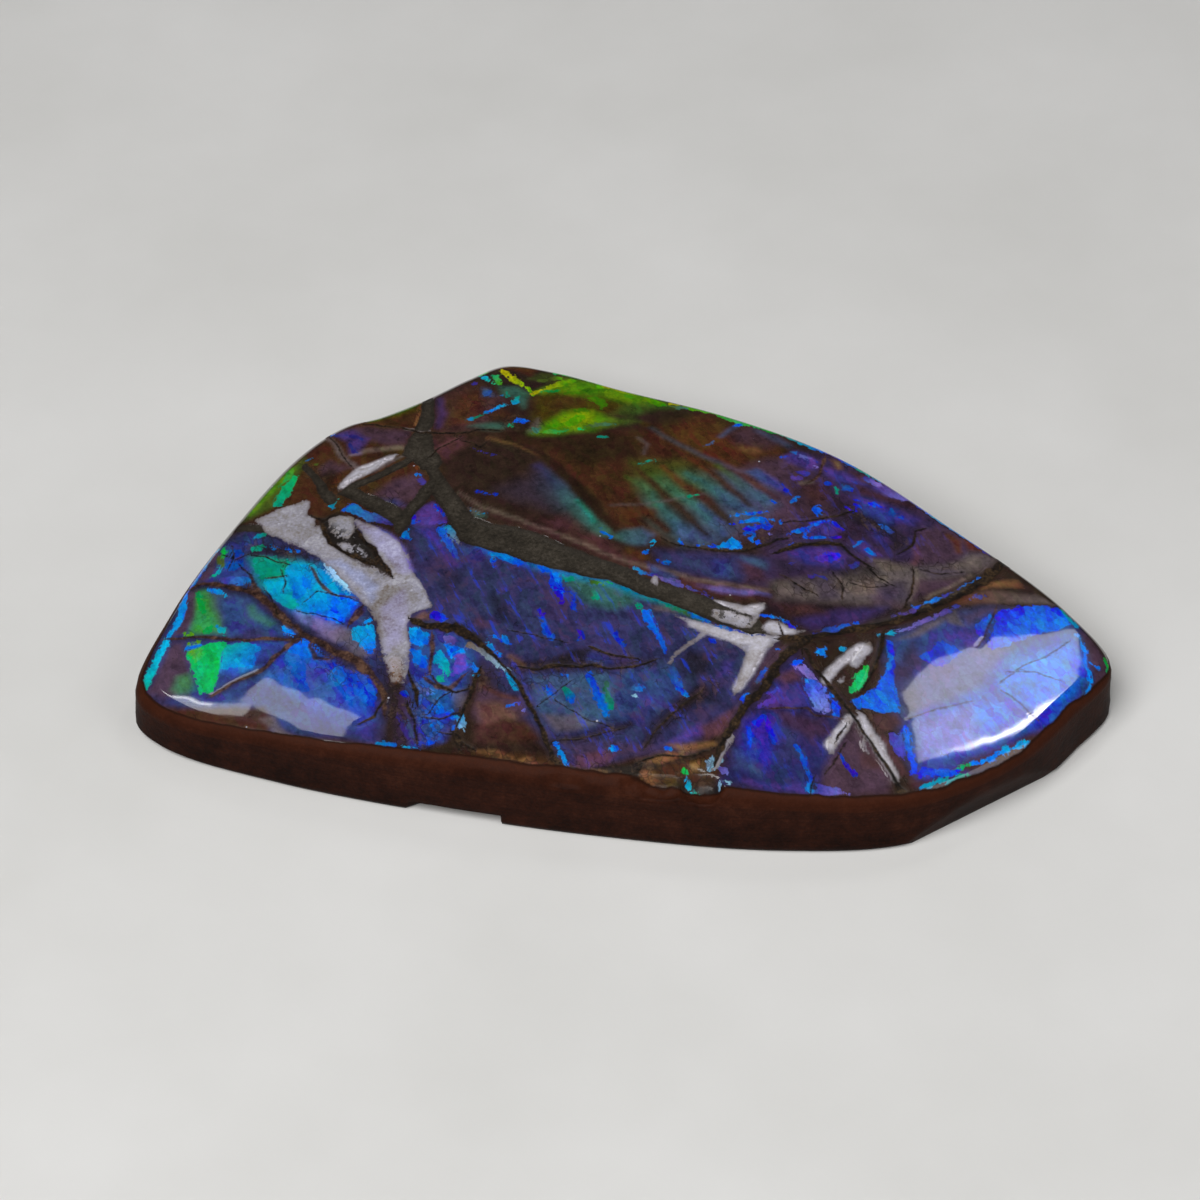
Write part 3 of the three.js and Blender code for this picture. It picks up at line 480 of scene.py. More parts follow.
    ("plum", 0.6, 1, [(34, -7), (38, -6), (38.6, -9.4), (35, -10)]),
    ("smoke", 0.6, 0.8, [(22, -7), (24.6, -6.4), (25.4, -8.6), (23, -9)]),
    ("plum", 0.5, 1, [(40.4, -3.4), (44, -2.4), (46, -3.6), (42, -5)]),
    ("beige", 0.5, 0.6, [(30, -7.4), (33.4, -6.6), (34, -8.6), (31, -9)]),
    ("rose", 0.7, 0.5, [(39.8, 1, 0.8), (40, -1, 1), (39.6, -2.4, 0.8)]),
    ("wine", 0.6, 1.6, [(22, 14), (27, 14), (30, 9), (34, 5), (37, 0), (30, 1), (24, 6)]),
    ("maroon", 0.6, 1, [(24.6, 12.6), (28, 13), (28.6, 9.4), (26, 8)]),
    ("violet", 0.8, 0.8, [(22.4, 18.8), (24, 20), (25.4, 19.6), (27.2, 17.6), (26.6, 16.2), (25.6, 16),
        (23, 17.6)]),
    ("violet", 0.8, 0.8, [(28.2, 16.4), (31.4, 15.2), (34, 13.2), (31, 13), (28.4, 15)]),
    ("violet lilac", 0.8, 0.6, [(34.8, 12.8), (36.4, 13.2), (39.6, 11.2), (38, 10.9), (36.2, 11.3)]),
    ("rose", 0.7, 0.7, [(32, 15.8), (34.6, 14.8), (35.2, 13.6), (33.4, 13.8)]),
    ("maroon", 0.8, 0.8, [(32.6, 13), (36.6, 11), (40.6, 9.6), (40, 8.8), (33, 11.4)]),
    ("ink", 0.6, 0.8, [(29.8, 9.6), (32, 7.4), (34.6, 7.2), (38.4, 3.6), (39.6, 3), (37, -0.6), (35.6, 1),
        (35.6, 3.6), (31.6, 5.6), (30, 8)]),
    ("violet", 0.7, 0.7, [(33, 10), (36, 9), (41, 6.8), (40, 5.4), (37.6, 6), (35, 8)]),
    ("violet", 0.6, 0.6, [(31.6, 1), (33, 1.6), (35, -0.8), (34, -1.4), (32.4, -0.4)]),
    ("violet", 0.5, 0.8, [(33.6, 3.6), (36, 3), (36.4, 1.6), (34.4, 1.6)]),
    ("beige", 0.5, 0.6, [(33.4, -1.8), (36, -1.6), (38.2, -3.4), (36, -4.2)]),
    ("tan", 0.7, 0.5, [(29, 18.4), (30.2, 18), (30.8, 16.4), (30, 15.8)]),
    ("beige", 0.5, 0.4, [(24.6, 12.8, 0.7), (26, 13.2, 0.7)]),
    ("ink", 0.5, 0.6, [(20.2, -3), (22, -2.6), (23.4, -4.6), (21, -5.8)]),
    ("indigo", 0.8, 0.8, [(25.4, 4.6), (28.4, 5.2), (29.8, 3.4), (28.6, 2), (26, 2)]),
    ("indigo violet", 0.7, 0.8, [(22.4, -1.4), (25, -0.2), (28.4, -0.2), (30.4, -1.6), (29.6, -3.6),
        (25, -3.6)]),
    ("indigo", 0.7, 1, [(32.4, 10.4), (36.6, 9), (39, 6.4), (36, 5), (33, 7.4)]),
    ("ink", 0.6, 0.8, [(20.4, -0.6), (24, 0.8), (28, 1.2), (31, 0), (28, 0), (24, -0.4)]),
    # right of the band
    ("tan", 0.9, 0.5, [(48.4, -6.4), (50, -5), (53.6, -4.2), (54.4, -5.4), (51, -5.6)]),
    ("rust stone", 0.9, 0.6, [(44.6, -9.4), (48, -9.2), (53, -8.2), (58.6, -8.2), (56, -6.8), (50, -6.4),
        (46, -7.6)]),
    ("stone", 0.8, 0.6, [(36.8, -16.4), (40, -13.8), (44, -11.8), (42.2, -13.8), (39.4, -15.6)]),
    ("stone", 0.8, 0.5, [(43.8, -12), (44.8, -10.8), (46, -13.4), (43.8, -13)]),
    ("mauve", 0.7, 0.6, [(45.6, -11.4), (50, -9.8), (49, -11), (46.6, -13.4)]),
    ("plum", 0.9, 1, [(35.6, -22.4), (38.4, -16.6), (40, -20.6), (41.4, -21.4), (36, -24.4)]),
    ("indigo", 0.7, 0.8, [(41.6, -15.4), (45.4, -14.4), (48.4, -15.6), (46.6, -18.2), (41.6, -16.4)]),
    ("cobalt", 0.55, 1.5, [(39, -22), (44, -18.6), (52, -17), (60.6, -13), (62, -20), (57, -28), (48, -34),
        (39, -36)]),
    ("stone", 0.6, 1.2, [(36.6, -25), (40, -21.4), (48, -16.6), (52, -16), (50, -19.6), (47, -24),
        (42, -27), (37, -29)]),
    ("lilac", 0.5, 1.4, [(38, -30), (46, -27), (47, -33), (39, -35.6)]),
    ("azure", 0.7, 0.8, [(49.4, -23), (53, -19.2), (60.6, -14.6), (62, -18), (60, -23.4), (55, -27),
        (51, -25.4)]),
    ("maroon", 0.8, 0.7, [(45, -35.4), (50, -33), (56, -29.2), (57.4, -30), (50, -35), (45, -37.2)]),
    ("indigo", 0.8, 0.6, [(37.6, -37.4), (44, -36.2), (45, -37.6), (39, -39.6)]),
    ("azure", 0.6, 0.8, [(46.4, -27), (50, -26.6), (51, -28.4), (48.6, -30.4), (46.6, -29.4)]),
    ("mauve", 0.9, 0.6, [(61.6, -12.4), (63, -13.6), (65.4, -18), (64.8, -20.6), (62.8, -21.6),
        (62.6, -15)]),
    ("brown", 0.8, 0.5, [(62.4, -24, 1), (57.6, -29.2, 1.2), (50, -34.4, 1.2), (42, -38.2, 1)]),
    # lower right
    ("cobalt", 0.3, 1.3, [(15.4, -31), (19.6, -30), (20.4, -34), (18.4, -38.4), (14.8, -36.6)]),
    ("dusk", 0.6, 1, [(19.6, -31.6), (22, -32), (22.6, -36), (20.4, -38), (18.8, -36)]),
    ("maroon", 0.6, 1, [(19.6, -29.4), (26, -30.4), (27, -33), (24, -34), (20.6, -31.6)]),
    ("rose", 0.8, 0.7, [(20, -23.8), (22.4, -22.6), (23.4, -24.4), (21, -25)]),
    ("violet", 0.7, 0.9, [(19.4, -26), (23, -24.8), (23.8, -28.4), (19, -28.8)]),
    ("steel", 0.4, 0.8, [(14, -35.6), (15.4, -36), (17.8, -39.4), (14.4, -38.4)]),
    ("violet", 0.7, 0.6, [(15, -40.2), (20, -41), (24, -40.8), (23.4, -42.2), (18, -41.6)]),
    ("maroon", 0.7, 0.9, [(30.8, -34.6), (33, -36), (33.6, -38), (31, -37.4)]),
    ("umber", 0.9, 0.7, [(24.4, -20.6), (28.4, -18.2), (30.4, -18.2), (28.4, -20.6), (25.6, -23.6)]),
    ("maroon", 0.9, 0.8, [(32, -29.6), (36, -28.9), (36.4, -30.4), (33.6, -32.6)]),
    ("rose", 0.8, 0.5, [(34, -33, 0.7), (35.4, -36, 0.9), (36.2, -38.6, 0.7)]),
    ("maroon", 0.8, 0.5, [(36.4, -38.6), (38, -39.4), (41, -39.4), (37, -40.6)]),
    ("mauve", 0.8, 0.6, [(19.6, -18.8), (21.6, -18.6), (20.6, -21.6), (17.6, -25), (16.8, -25),
        (18.4, -21)]),
    # lower centre
    ("sage", 0.75, 1, [(-8.6, -5.8), (-5, -6.4), (-1.4, -7.6), (1, -9.8), (1.4, -11), (-2, -12.6),
        (-5.4, -10.4), (-7.8, -7.6)]),
    ("azure teal", 0.6, 0.7, [(-20, 0.4, 0.8), (-14, -3, 1.4), (-9, -5, 1.4), (-3, -7.2, 1.2),
        (4, -10.6, 0.8), (10, -13.8, 0.6)]),
    ("umber", 0.75, 0.9, [(-15, -21.6, 1.2), (-9, -21.6, 2.2), (-4, -21.6, 1.8), (3, -21.6, 1)]),
    ("steel", 0.8, 0.8, [(-12.6, -23.4), (-5, -23.2), (-0.6, -23.4), (0, -30), (-5, -32), (-11, -29.6),
        (-12.6, -26.6)]),
    ("slate", 0.6, 1.2, [(-1, -23), (6, -22.6), (7.4, -26), (2, -32), (-2, -31)]),
    ("slate", 0.6, 0.6, [(-5.2, -19.6), (-1, -20.6), (1.4, -21.4), (-2, -21.8), (-5, -21.4)]),
    ("ink", 0.6, 0.8, [(-18.6, -9), (-16.4, -9), (-15, -14), (-16.4, -14), (-18, -12)]),
    ("rose", 0.5, 0.5, [(-20.8, -12.8), (-19.6, -12.6), (-18.4, -14.6), (-19.6, -14.8)]),
    ("ink", 0.8, 0.5, [(-23, -14), (-21.4, -13.8), (-18.8, -16.4), (-18.4, -18), (-21, -17.2)]),
    ("ink", 0.8, 0.5, [(-9, -20.6), (-7, -19), (-4.2, -18.6), (-5.6, -21), (-9, -21.4)]),
    ("ink", 0.8, 1, [(8.4, -19.6), (11.8, -20.2), (10.6, -23.4), (9, -24.4), (6.8, -22.2)]),
    ("ink", 0.7, 1, [(9, -25), (12, -26), (12.4, -28.6), (7, -28.4)]),
    ("violet", 0.6, 0.6, [(13, -21.4), (14.4, -21.6), (13.8, -23.6), (12.2, -24)]),
    ("violet", 0.5, 0.7, [(2, -27), (4, -27.6), (6, -29.2), (3, -29)]),
    ("rose", 0.8, 0.7, [(9.6, -32.2), (13.4, -29.4), (14.4, -29.2), (13, -32.8), (10.6, -34.4)]),
    ("violet", 0.7, 0.6, [(5.8, -34.6), (9.6, -31.4), (10, -33.4), (8.4, -34.2)]),
    ("umber", 0.8, 0.9, [(2.6, -35.4, 1), (4.4, -32.2, 1.8), (7, -29, 2.2), (10.4, -25.6, 1.4)]),
    ("umber", 0.75, 0.7, [(-10, -34.4, 0.8), (-5, -33.4, 1.4), (0.6, -32, 1)]),
    ("mauve", 0.6, 0.9, [(-8, -34.6), (-2, -34), (3, -35.4), (0, -37), (-7, -36.4)]),
    ("mauve", 0.9, 0.6, [(-19.6, -24.6), (-14.6, -26.4), (-13, -30), (-19, -31), (-20.2, -29.6)]),
    ("tan", 0.45, 0.8, [(-19.6, -27.6), (-16.6, -27.4), (-14, -30.4), (-19, -31.2)]),
    ("rust", 0.6, 0.4, [(-19.2, -24.8, 0.4), (-16.8, -26.2, 0.7), (-14.4, -27, 0.4)]),
    ("maroon brown", 0.9, 0.7, [(-20, -31.4), (-13.4, -31), (-11, -34), (-20, -34)]),
    ("stone", 0.5, 0.5, [(-23, -25.6), (-21.6, -25.4), (-21.2, -27.6), (-22.6, -28.4)]),
    ("beige", 0.4, 0.6, [(-11.4, -30), (-6, -30), (-4, -31.6), (-9, -32.8)]),
    ("violet", 0.5, 0.6, [(-7.6, -36.6), (-1.4, -36.6), (-2.6, -38.6), (-7.2, -38)]),
    ("beige", 0.5, 0.4, [(3.4, -11.6), (5.4, -11.8), (7, -13), (4, -12.6)]),
    # crumbly near edge
    ("brown", 1, 0.9, [(-25.6, -36.4, 2), (-14, -37.4, 3), (-4, -40.2, 3), (5, -38.2, 4.4),
        (11, -38.6, 3)]),
    ("ink", 0.9, 0.6, [(-6, -38.4), (-1, -38), (2, -37.6), (3, -39.4), (2, -41), (-6, -41)]),
    ("ink", 0.7, 0.5, [(3, -38.6, 0.7), (6, -37.2, 0.9), (9, -36.8, 0.7)]),
    ("tan", 0.7, 0.4, [(-14.6, -37.4, 0.6), (-13, -36.8, 0.8), (-10.4, -38.8, 0.6)]),
    ("tan", 0.8, 0.5, [(5.6, -34.8), (11.6, -34.6), (12, -35.2), (7.6, -36.2)]),
    ("tan", 1, 0.35, [(3, -37.4), (6, -35.9), (7.8, -36.4), (4.6, -37.8)]),
    ("tan", 0.8, 0.4, [(1.8, -39), (3.2, -38.6), (4.2, -39.6), (2, -41)]),
    ("tan", 1, 0.3, [(8.4, -37.8), (9.6, -37.4), (10.2, -38.2), (8.6, -39)]),
    ("olive", 0.7, 0.5, [(5.2, -39.6), (7, -39.8), (9, -41), (5.8, -40.8)]),
    ("ink", 0.85, 0.5, [(7, -40.4, 1.4), (9.6, -40.8, 2.4), (12.4, -41.2, 1.4)]),
    ("rose", 0.8, 0.5, [(-7, -36.4), (-3.4, -35.6), (-1.4, -36.6), (-2.4, -38), (-6.4, -38.2)]),
    ("tan", 0.8, 0.3, [(-7, -39, 0.6), (-4.8, -38.9, 0.9), (-2.6, -39.2, 0.6)]),
    ("tan", 0.7, 0.4, [(-19.4, -35.4, 0.6), (-17, -35.6, 1), (-15, -36.6, 0.7)]),
    ("tan", 0.6, 0.4, [(-15.6, -20, 0.8), (-14, -21.6, 0.9)]),
]

# Flakes of bright shell with crisp edges: colour or pair of colours from one end to the other, brightness,
# then a streak of (x, y, width) or the outline of a patch of (x, y)
plates = [
    # left end
    ("teal", 0.75, [(-51.6, 1.9), (-50, 2), (-46.8, 0.8), (-46, 0), (-47, -2.4), (-49.8, -2.8),
        (-51.2, 0)]),
    ("cyan teal", 0.95, [(-49.4, -3.4), (-46.6, -3), (-45.6, -5), (-44, -9.2), (-45.8, -8.8), (-48, -6.4),
        (-49, -5.2)]),
    ("cyan azure", 0.85, [(-46.6, -0.6), (-44.6, -0.4), (-43, -1.2), (-42.4, -3), (-43.4, -5.6),
        (-45, -7.4), (-46.6, -2.6)]),
    ("cyan azure", 0.95, [(-43.4, -5.8), (-42, -4.4), (-40.4, -6.4), (-40, -9), (-41.8, -10.4), (-44, -9.4),
        (-44.6, -7.4)]),
    ("azure", 1.05, [(-40, -6.8), (-38.6, -7.2), (-36, -8.8), (-37.8, -10.8), (-38, -12), (-39.2, -12.2),
        (-40.6, -11.4), (-40.2, -9)]),
    ("cyan", 0.9, [(-42, -1.8), (-40.8, -2.6), (-38.4, -6), (-37.2, -7.4), (-38.6, -6.8), (-40, -6),
        (-41, -4.6)]),
    ("ice", 1.1, [(-41.6, -0.8), (-40.4, -0.2), (-38.8, -0.8), (-37, -2.8), (-35.8, -5), (-35.8, -7.6),
        (-37.4, -6.8), (-39.8, -3.8)]),
    ("azure", 0.5, [(-55, 4), (-53.4, 3.8), (-52.6, 2.6), (-54, 2.4)]),
    ("azure", 0.5, [(-55, 1.8), (-52.8, 1.6), (-52.6, 0.2), (-54.4, -0.4), (-55.2, 0.6)]),
    ("teal", 0.8, [(-52, 4.6), (-50.2, 4.4), (-50, 3.2), (-51.6, 3)]),
    ("cyan teal", 0.8, [(-51.2, 6, 0.7), (-50, 6.7, 0.7)]),
    ("azure", 0.7, [(-49, 3.6, 0.6), (-48.2, 3.2, 0.6)]),
    ("azure", 0.8, [(-46.8, 2.8, 0.6), (-45.2, 1.8, 0.7)]),
    ("emerald", 0.9, [(-55.4, 4.6), (-55, 3.4), (-55.6, 2.6), (-55.8, 3.8)]),
    ("emerald cyan", 0.95, [(-57, -1.2), (-56, 0.6), (-55.2, 0.2), (-56.2, -1)]),
    ("moss", 1, [(-56, 2.8, 0.6), (-55.4, 1, 0.7)]),
    ("violet azure", 0.8, [(-56.2, -1.6), (-54, -1.2), (-52.4, -1.8), (-51.2, -3), (-53, -3.4),
        (-55, -2.6)]),
    ("emerald", 0.75, [(-58.4, -4, 0.7), (-58, -6, 0.9), (-57.6, -7.6, 0.6)]),
    ("emerald", 0.75, [(-57.6, -10.8), (-56.4, -10.4), (-56, -11.6), (-57, -11.8)]),
    ("cyan teal", 0.85, [(-55.8, -10.6), (-54.4, -11), (-53.8, -12.4), (-55.4, -12)]),
    ("azure cyan", 0.9, [(-57, -3.7, 0.6), (-55.6, -4.4, 0.8), (-54.6, -5, 0.6)]),
    ("lime", 0.9, [(-60, -11.2, 0.5), (-59, -11.6, 0.5)]),
    ("lime", 0.8, [(-59.2, -13.2, 0.5), (-58, -13.2, 0.5)]),
    ("azure", 1, [(-46.8, -12), (-46, -11.4), (-44, -13.4), (-44.8, -13.8), (-46, -13.2)]),
    ("azure", 0.9, [(-59.4, -13.9, 0.5), (-57.8, -13.6, 0.5)]),
    ("emerald", 0.95, [(-59.6, -14.6), (-58, -13.9), (-55, -13.3), (-54.2, -14), (-54.4, -17), (-54.7, -20),
        (-55.2, -22.2), (-57.2, -22.4), (-57.8, -19.8), (-59.2, -16)]),
    ("teal azure", 0.95, [(-53.9, -14.1), (-51.4, -14.2), (-49.8, -14.6), (-49.2, -15.4), (-50.4, -16),
        (-50, -18.8), (-52, -18.4), (-54.8, -18.6), (-54.6, -15.4)]),
    ("azure", 0.9, [(-45, -15.6), (-43.6, -14.6), (-42.6, -15.2), (-41, -17), (-43, -18.2),
        (-45.2, -16.6)]),
    ("azure", 0.65, [(-45.6, -18.4), (-43.8, -18.4), (-43, -19), (-42.4, -23.4), (-43.2, -23.6),
        (-44.8, -20.2)]),
    ("cobalt azure", 0.75, [(-40.2, -18.5), (-36.8, -20.2), (-34, -21.8), (-32.8, -23.4), (-33.6, -27),
        (-36.6, -24), (-39.4, -20.4)]),
    ("azure", 0.65, [(-39.2, -20.6), (-37.6, -22.8), (-36, -25.8), (-35.6, -27.6), (-36.6, -26.4),
        (-38.4, -23.4)]),
    ("cyan azure", 1, [(-36.6, -13.2), (-34, -13), (-33.4, -16.6), (-33.8, -18), (-35, -17.6),
        (-37, -14.8)]),
    ("azure", 1, [(-35.6, -12.4), (-34.6, -11.6), (-34, -12.4), (-35, -12.8)]),
    ("cyan azure", 1, [(-56.6, 4.6, 0.6), (-58.4, 1.2, 0.7), (-59.8, -2.4, 0.7)]),
    ("azure cyan", 1.05, [(-60.2, -3.4, 0.7), (-60.7, -6, 0.9), (-61.3, -9, 0.9), (-62.1, -11.6, 0.8)]),
    ("cyan teal", 1.15, [(-62.1, -12, 0.9), (-63.3, -15, 1.1), (-64.4, -17.6, 1.2), (-65.2, -20.6, 0.8)]),
    ("lime emerald", 0.95, [(-59.4, -14.4), (-57.8, -13.9), (-56.8, -15.6), (-58, -16.8)]),
    # top left
    ("azure violet", 0.8, [(-39.6, 10), (-38.6, 11.2), (-37.6, 11), (-36.4, 9.4), (-34, 8.6), (-32, 6.6),
        (-32.6, 5.8), (-35.6, 7), (-37.6, 8.6)]),
    ("azure", 0.75, [(-31, 4.2), (-30, 4.8), (-29.6, 2.6), (-31, 3.2)]),
    ("azure", 0.8, [(-26.4, 9.4, 0.5), (-25, 7.2, 0.5)]),
    ("cobalt", 0.8, [(-29.5, 7.4, 0.6), (-29.4, 6.2, 0.6), (-28.4, 6.2, 0.5)]),
    ("violet indigo", 1.1, [(-27, 5.6, 0.6), (-25.2, 5.6, 0.6)]),
    ("teal emerald", 0.95, [(-49.4, 12), (-48.2, 12.2), (-47, 15.6), (-45.9, 18.6), (-46.8, 18.8),
        (-48.6, 15.8)]),
    ("emerald lime", 0.85, [(-48.6, 16.6), (-47.4, 17.4), (-46.6, 19.4), (-46.8, 20.8), (-47.8, 19.4)]),
    ("cyan", 0.8, [(-45.2, 21.6, 0.5), (-44.7, 21.9, 0.5)]),
    ("moss", 1, [(-43.9, 20.4, 0.5), (-43.4, 20.4, 0.5)]),
    ("indigo", 0.75, [(-41, 26.8, 0.4), (-38.6, 26.4, 0.5), (-37.2, 25.4, 0.3)]),
    ("indigo", 0.7, [(-39, 24.6, 0.4), (-38.4, 23.2, 0.7), (-37.8, 22, 0.4)]),
    ("cyan teal", 0.85, [(-41.8, 11.2), (-40.6, 12.6), (-40, 12.4), (-40.8, 10.6)]),
    ("azure", 1, [(-41.6, 27.4, 0.5), (-41.2, 27.6, 0.5)]),
    ("lime", 0.8, [(-37.7, 14.7, 0.5), (-37.3, 14.8, 0.5)]),
    ("rust", 1.2, [(-29.4, 18.2), (-28.6, 18.4), (-28.2, 17.6), (-29, 17.2)]),
    ("azure", 0.8, [(-29.2, 16.3, 0.5), (-28.8, 16.3, 0.6)]),
    ("violet", 0.9, [(-28.8, 15.4, 0.8), (-28.2, 14.6, 0.9)]),
    ("rust tan", 1, [(-28.7, 34.2, 0.5), (-29.3, 31, 0.5), (-29.9, 27.6, 0.5)]),
    ("indigo", 0.8, [(-21.9, 22.1), (-21.2, 21.4), (-18, 19.2), (-18.8, 19), (-20.4, 20.2)]),
    ("cobalt", 0.7, [(-20.8, 11.7, 0.4), (-17.8, 10.8, 0.4)]),
    # far corner
    ("lime", 0.95, [(-20.4, 41.4), (-19.6, 41.6), (-19.4, 40.8), (-20, 40)]),
    ("emerald", 1.15, [(-21.6, 39.8), (-20.8, 40.6), (-20.2, 40.8), (-20, 39.8), (-20.8, 39.4)]),
    ("cyan emerald", 1.2, [(-21, 39.2), (-20, 39.8), (-19.2, 38.6), (-18.4, 37), (-20, 38.4)]),
    ("emerald lime", 1.1, [(-18.8, 39.6), (-18, 39.4), (-17.6, 38), (-17.8, 36.8), (-18.6, 38.4)]),
    ("gold lime", 1.15, [(-18, 40.8, 0.5), (-16.8, 39.6, 0.7), (-15.7, 38, 0.9), (-14.7, 36.5, 0.7),
        (-13.4, 34.4, 0.5)]),
    ("gold lime", 1, [(-13.4, 33.8, 0.5), (-12.9, 33.4, 0.7)]),
    ("gold lime", 0.9, [(-12.9, 33.7, 0.6), (-11, 35.1, 0.9), (-9, 36.5, 1.1), (-7.4, 37, 0.8)]),
    ("emerald", 0.7, [(-11.8, 34.4, 0.5), (-9.3, 34.6, 0.5)]),
    ("lime", 0.55, [(-8.4, 33.7, 0.6), (-4.8, 34.3, 0.8), (-2, 34.4, 0.6)]),
    ("lime", 1.05, [(-3.5, 35.3, 0.7), (-2.8, 35.3, 0.7)]),
    ("emerald lime", 1.1, [(-10.1, 39.6, 0.6), (-7.3, 38.6, 0.8), (-5.1, 37.3, 0.8), (-2.9, 35.9, 0.6)]),
    ("gold lime", 0.8, [(-2.6, 35.5, 0.6), (0, 34, 0.9), (2.6, 32.6, 0.9)]),
    ("lime", 0.8, [(2.4, 32.6), (4, 32.2), (5.6, 31.2), (6, 30.4), (4.4, 30.4), (3, 31.2)]),
    ("gold lime", 0.8, [(6.6, 30.9, 0.6), (9.6, 29.8, 0.7)]),
    ("moss sage", 1.1, [(6, 30.3), (8, 30.4), (9.2, 29.6), (8, 29.3)]),
    ("lime", 0.55, [(-5.6, 32.8), (-4, 33), (-2.8, 32.2), (-2.2, 30.6), (-3, 29.6), (-4.8, 31.8)]),
    ("lime", 0.9, [(-8.2, 26.2), (-7.4, 27.4), (-6.6, 28.2), (-5.4, 28.2), (-5.2, 27.2), (-7, 25.4),
        (-8, 25.2)]),
    ("lime", 0.55, [(-7.4, 29.6), (-5.4, 29.6), (-4.8, 28.6), (-6.6, 28.5)]),
    ("lime", 0.75, [(-11.2, 26), (-9.4, 26.4), (-8.2, 26.2), (-8.2, 25.5), (-10, 25.3)]),
    ("lime emerald", 0.85, [(-12.4, 24.4), (-10.4, 24.9), (-7.4, 24.3), (-9, 23.9)]),
    ("emerald", 1, [(-6.8, 24.2), (-6.4, 25), (-5.8, 25.1), (-5.5, 24.4)]),
    ("moss sage", 1.2, [(-5.2, 25.3), (-4, 26.1), (-2.4, 26.3), (-0.8, 25.9), (-4, 25.1)]),
    ("teal", 0.8, [(-3.6, 22.6, 0.4), (-2.4, 22.8, 0.4)]),
    ("teal cyan", 1, [(-15.8, 33.2), (-15, 33.2), (-14.8, 31.6), (-16.2, 31), (-15.9, 32)]),
    ("teal", 0.75, [(-17, 34.6, 0.6), (-16.6, 33.6, 0.6)]),
    ("steel azure", 0.9, [(-20.3, 36.2), (-19.4, 35.8), (-18.8, 34), (-17.4, 33.8), (-20.2, 34.1)]),
    ("azure cyan", 1, [(-19.8, 29.6, 0.6), (-17.1, 31.2, 0.8)]),
    ("cyan", 0.95, [(-22.3, 28.3, 0.7), (-21.8, 28.3, 0.6)]),
    ("teal", 0.7, [(-21.6, 28.3, 0.5), (-20.6, 28.8, 0.5)]),
    ("azure", 1, [(-16, 26.8), (-15.4, 27.8), (-14.2, 27.6), (-13.2, 26.8), (-14.6, 26.4)]),
    ("teal emerald", 0.8, [(-17, 26.6), (-16.2, 26.6), (-15.6, 25.6), (-16.4, 25.4)]),
    ("indigo", 1, [(-21.7, 37.5, 0.7), (-21.3, 37.5, 0.7)]),
    ("moss", 1.1, [(-12.2, 37.5, 0.8), (-11.6, 37.5, 0.8)]),
    ("moss lime", 1, [(-10.1, 38, 1), (-9.2, 38, 1.2)]),
    ("sage", 1, [(-13, 25.4), (-11.8, 25.2), (-11.6, 24.2), (-12.8, 23.8)]),
    # far rim
    ("lime emerald", 1, [(9.4, 29.8, 0.7), (12.4, 28.7, 0.8), (16, 27, 0.9), (20, 25, 0.9), (22, 24, 0.7)]),
    ("teal azure", 1, [(22.4, 23.7, 0.7), (24.6, 22.5, 0.8), (27, 21.1, 0.9), (28.6, 20, 0.7)]),
    ("indigo azure", 1, [(28.8, 20, 0.7), (31, 18.3, 0.8), (32.6, 17.1, 0.7)]),
    ("teal cyan", 1, [(33, 16.7, 0.7), (34.6, 15.4, 0.8), (36.2, 14.3, 0.7)]),
    ("violet cobalt", 1, [(36.6, 13.9, 0.7), (39, 11.7, 0.8), (42.6, 8.1, 0.8)]),
    ("cyan azure", 1, [(43, 7.6, 0.7), (45, 5.6, 0.8), (48.4, 2.5, 0.8)]),
    ("cobalt violet", 0.9, [(48.6, 2.2, 0.5), (50.2, 0.6, 0.6)]),
    ("azure", 0.9, [(16, 25.8, 0.7), (16.6, 26, 0.7)]),
    ("steel", 1.2, [(11.8, 21, 0.5), (13, 22.1, 0.5)]),
    ("teal", 0.8, [(2, 16.5, 0.4), (2.8, 16.8, 0.4)]),
    ("teal", 0.8, [(3.3, 17.2, 0.4), (4.3, 17.5, 0.4)]),
    # raised plate and the broken shell right of it
    ("azure", 0.75, [(-3.4, 2.8, 0.5), (-2, 1.6, 0.6)]),
    ("cyan", 0.9, [(2.9, -1), (3.4, 0.2), (4, 0.8), (4.2, 0.2), (3.2, -1.2)]),
    ("azure", 0.8, [(2.4, -1.7, 0.5), (2.8, -1.7, 0.5)]),
    ("teal", 0.8, [(9, 9.4, 0.4), (10.2, 9.9, 0.4)]),
    ("azure", 0.8, [(7.5, 0.4, 0.5), (8, -0.3, 0.6)]),
    ("azure", 0.8, [(10, -0.6, 0.5), (12.4, -0.5, 0.5)]),
    ("cyan azure", 0.95, [(12.7, -0.7), (14.1, 0.4), (14.7, 1.4), (16, 0), (16.5, -0.7), (15.8, -1.2),
        (14.4, -1.1)]),
    ("azure", 0.9, [(14.6, 3.6), (16.2, 4.4), (18.4, 5.3), (20.2, 5.2), (20.6, 4.6)]),
    ("azure", 0.8, [(16.6, 1.9, 0.6), (17.8, 1.9, 0.5)]),
    ("azure", 0.9, [(17.4, 1.1, 0.7), (18.4, 0.3, 0.8)]),
    ("lilac", 0.9, [(20, 2, 0.5), (20.4, 2, 0.5)]),
    ("azure cobalt", 0.9, [(15, 5.4, 0.5), (17.6, 6.2, 0.6), (20, 6.4, 0.4)]),
    ("cobalt", 0.95, [(16.2, 2.8), (18.6, 3.8), (20.8, 3.9), (20.2, 3), (18, 2.4)]),
    ("cobalt", 0.9, [(25.6, 4.4, 0.5), (28.4, 5.2, 0.6), (30, 3.6, 0.5)]),
    ("azure cobalt", 0.95, [(25.8, 7.2), (27, 8.2), (27.6, 6.8), (26.6, 6.2)]),
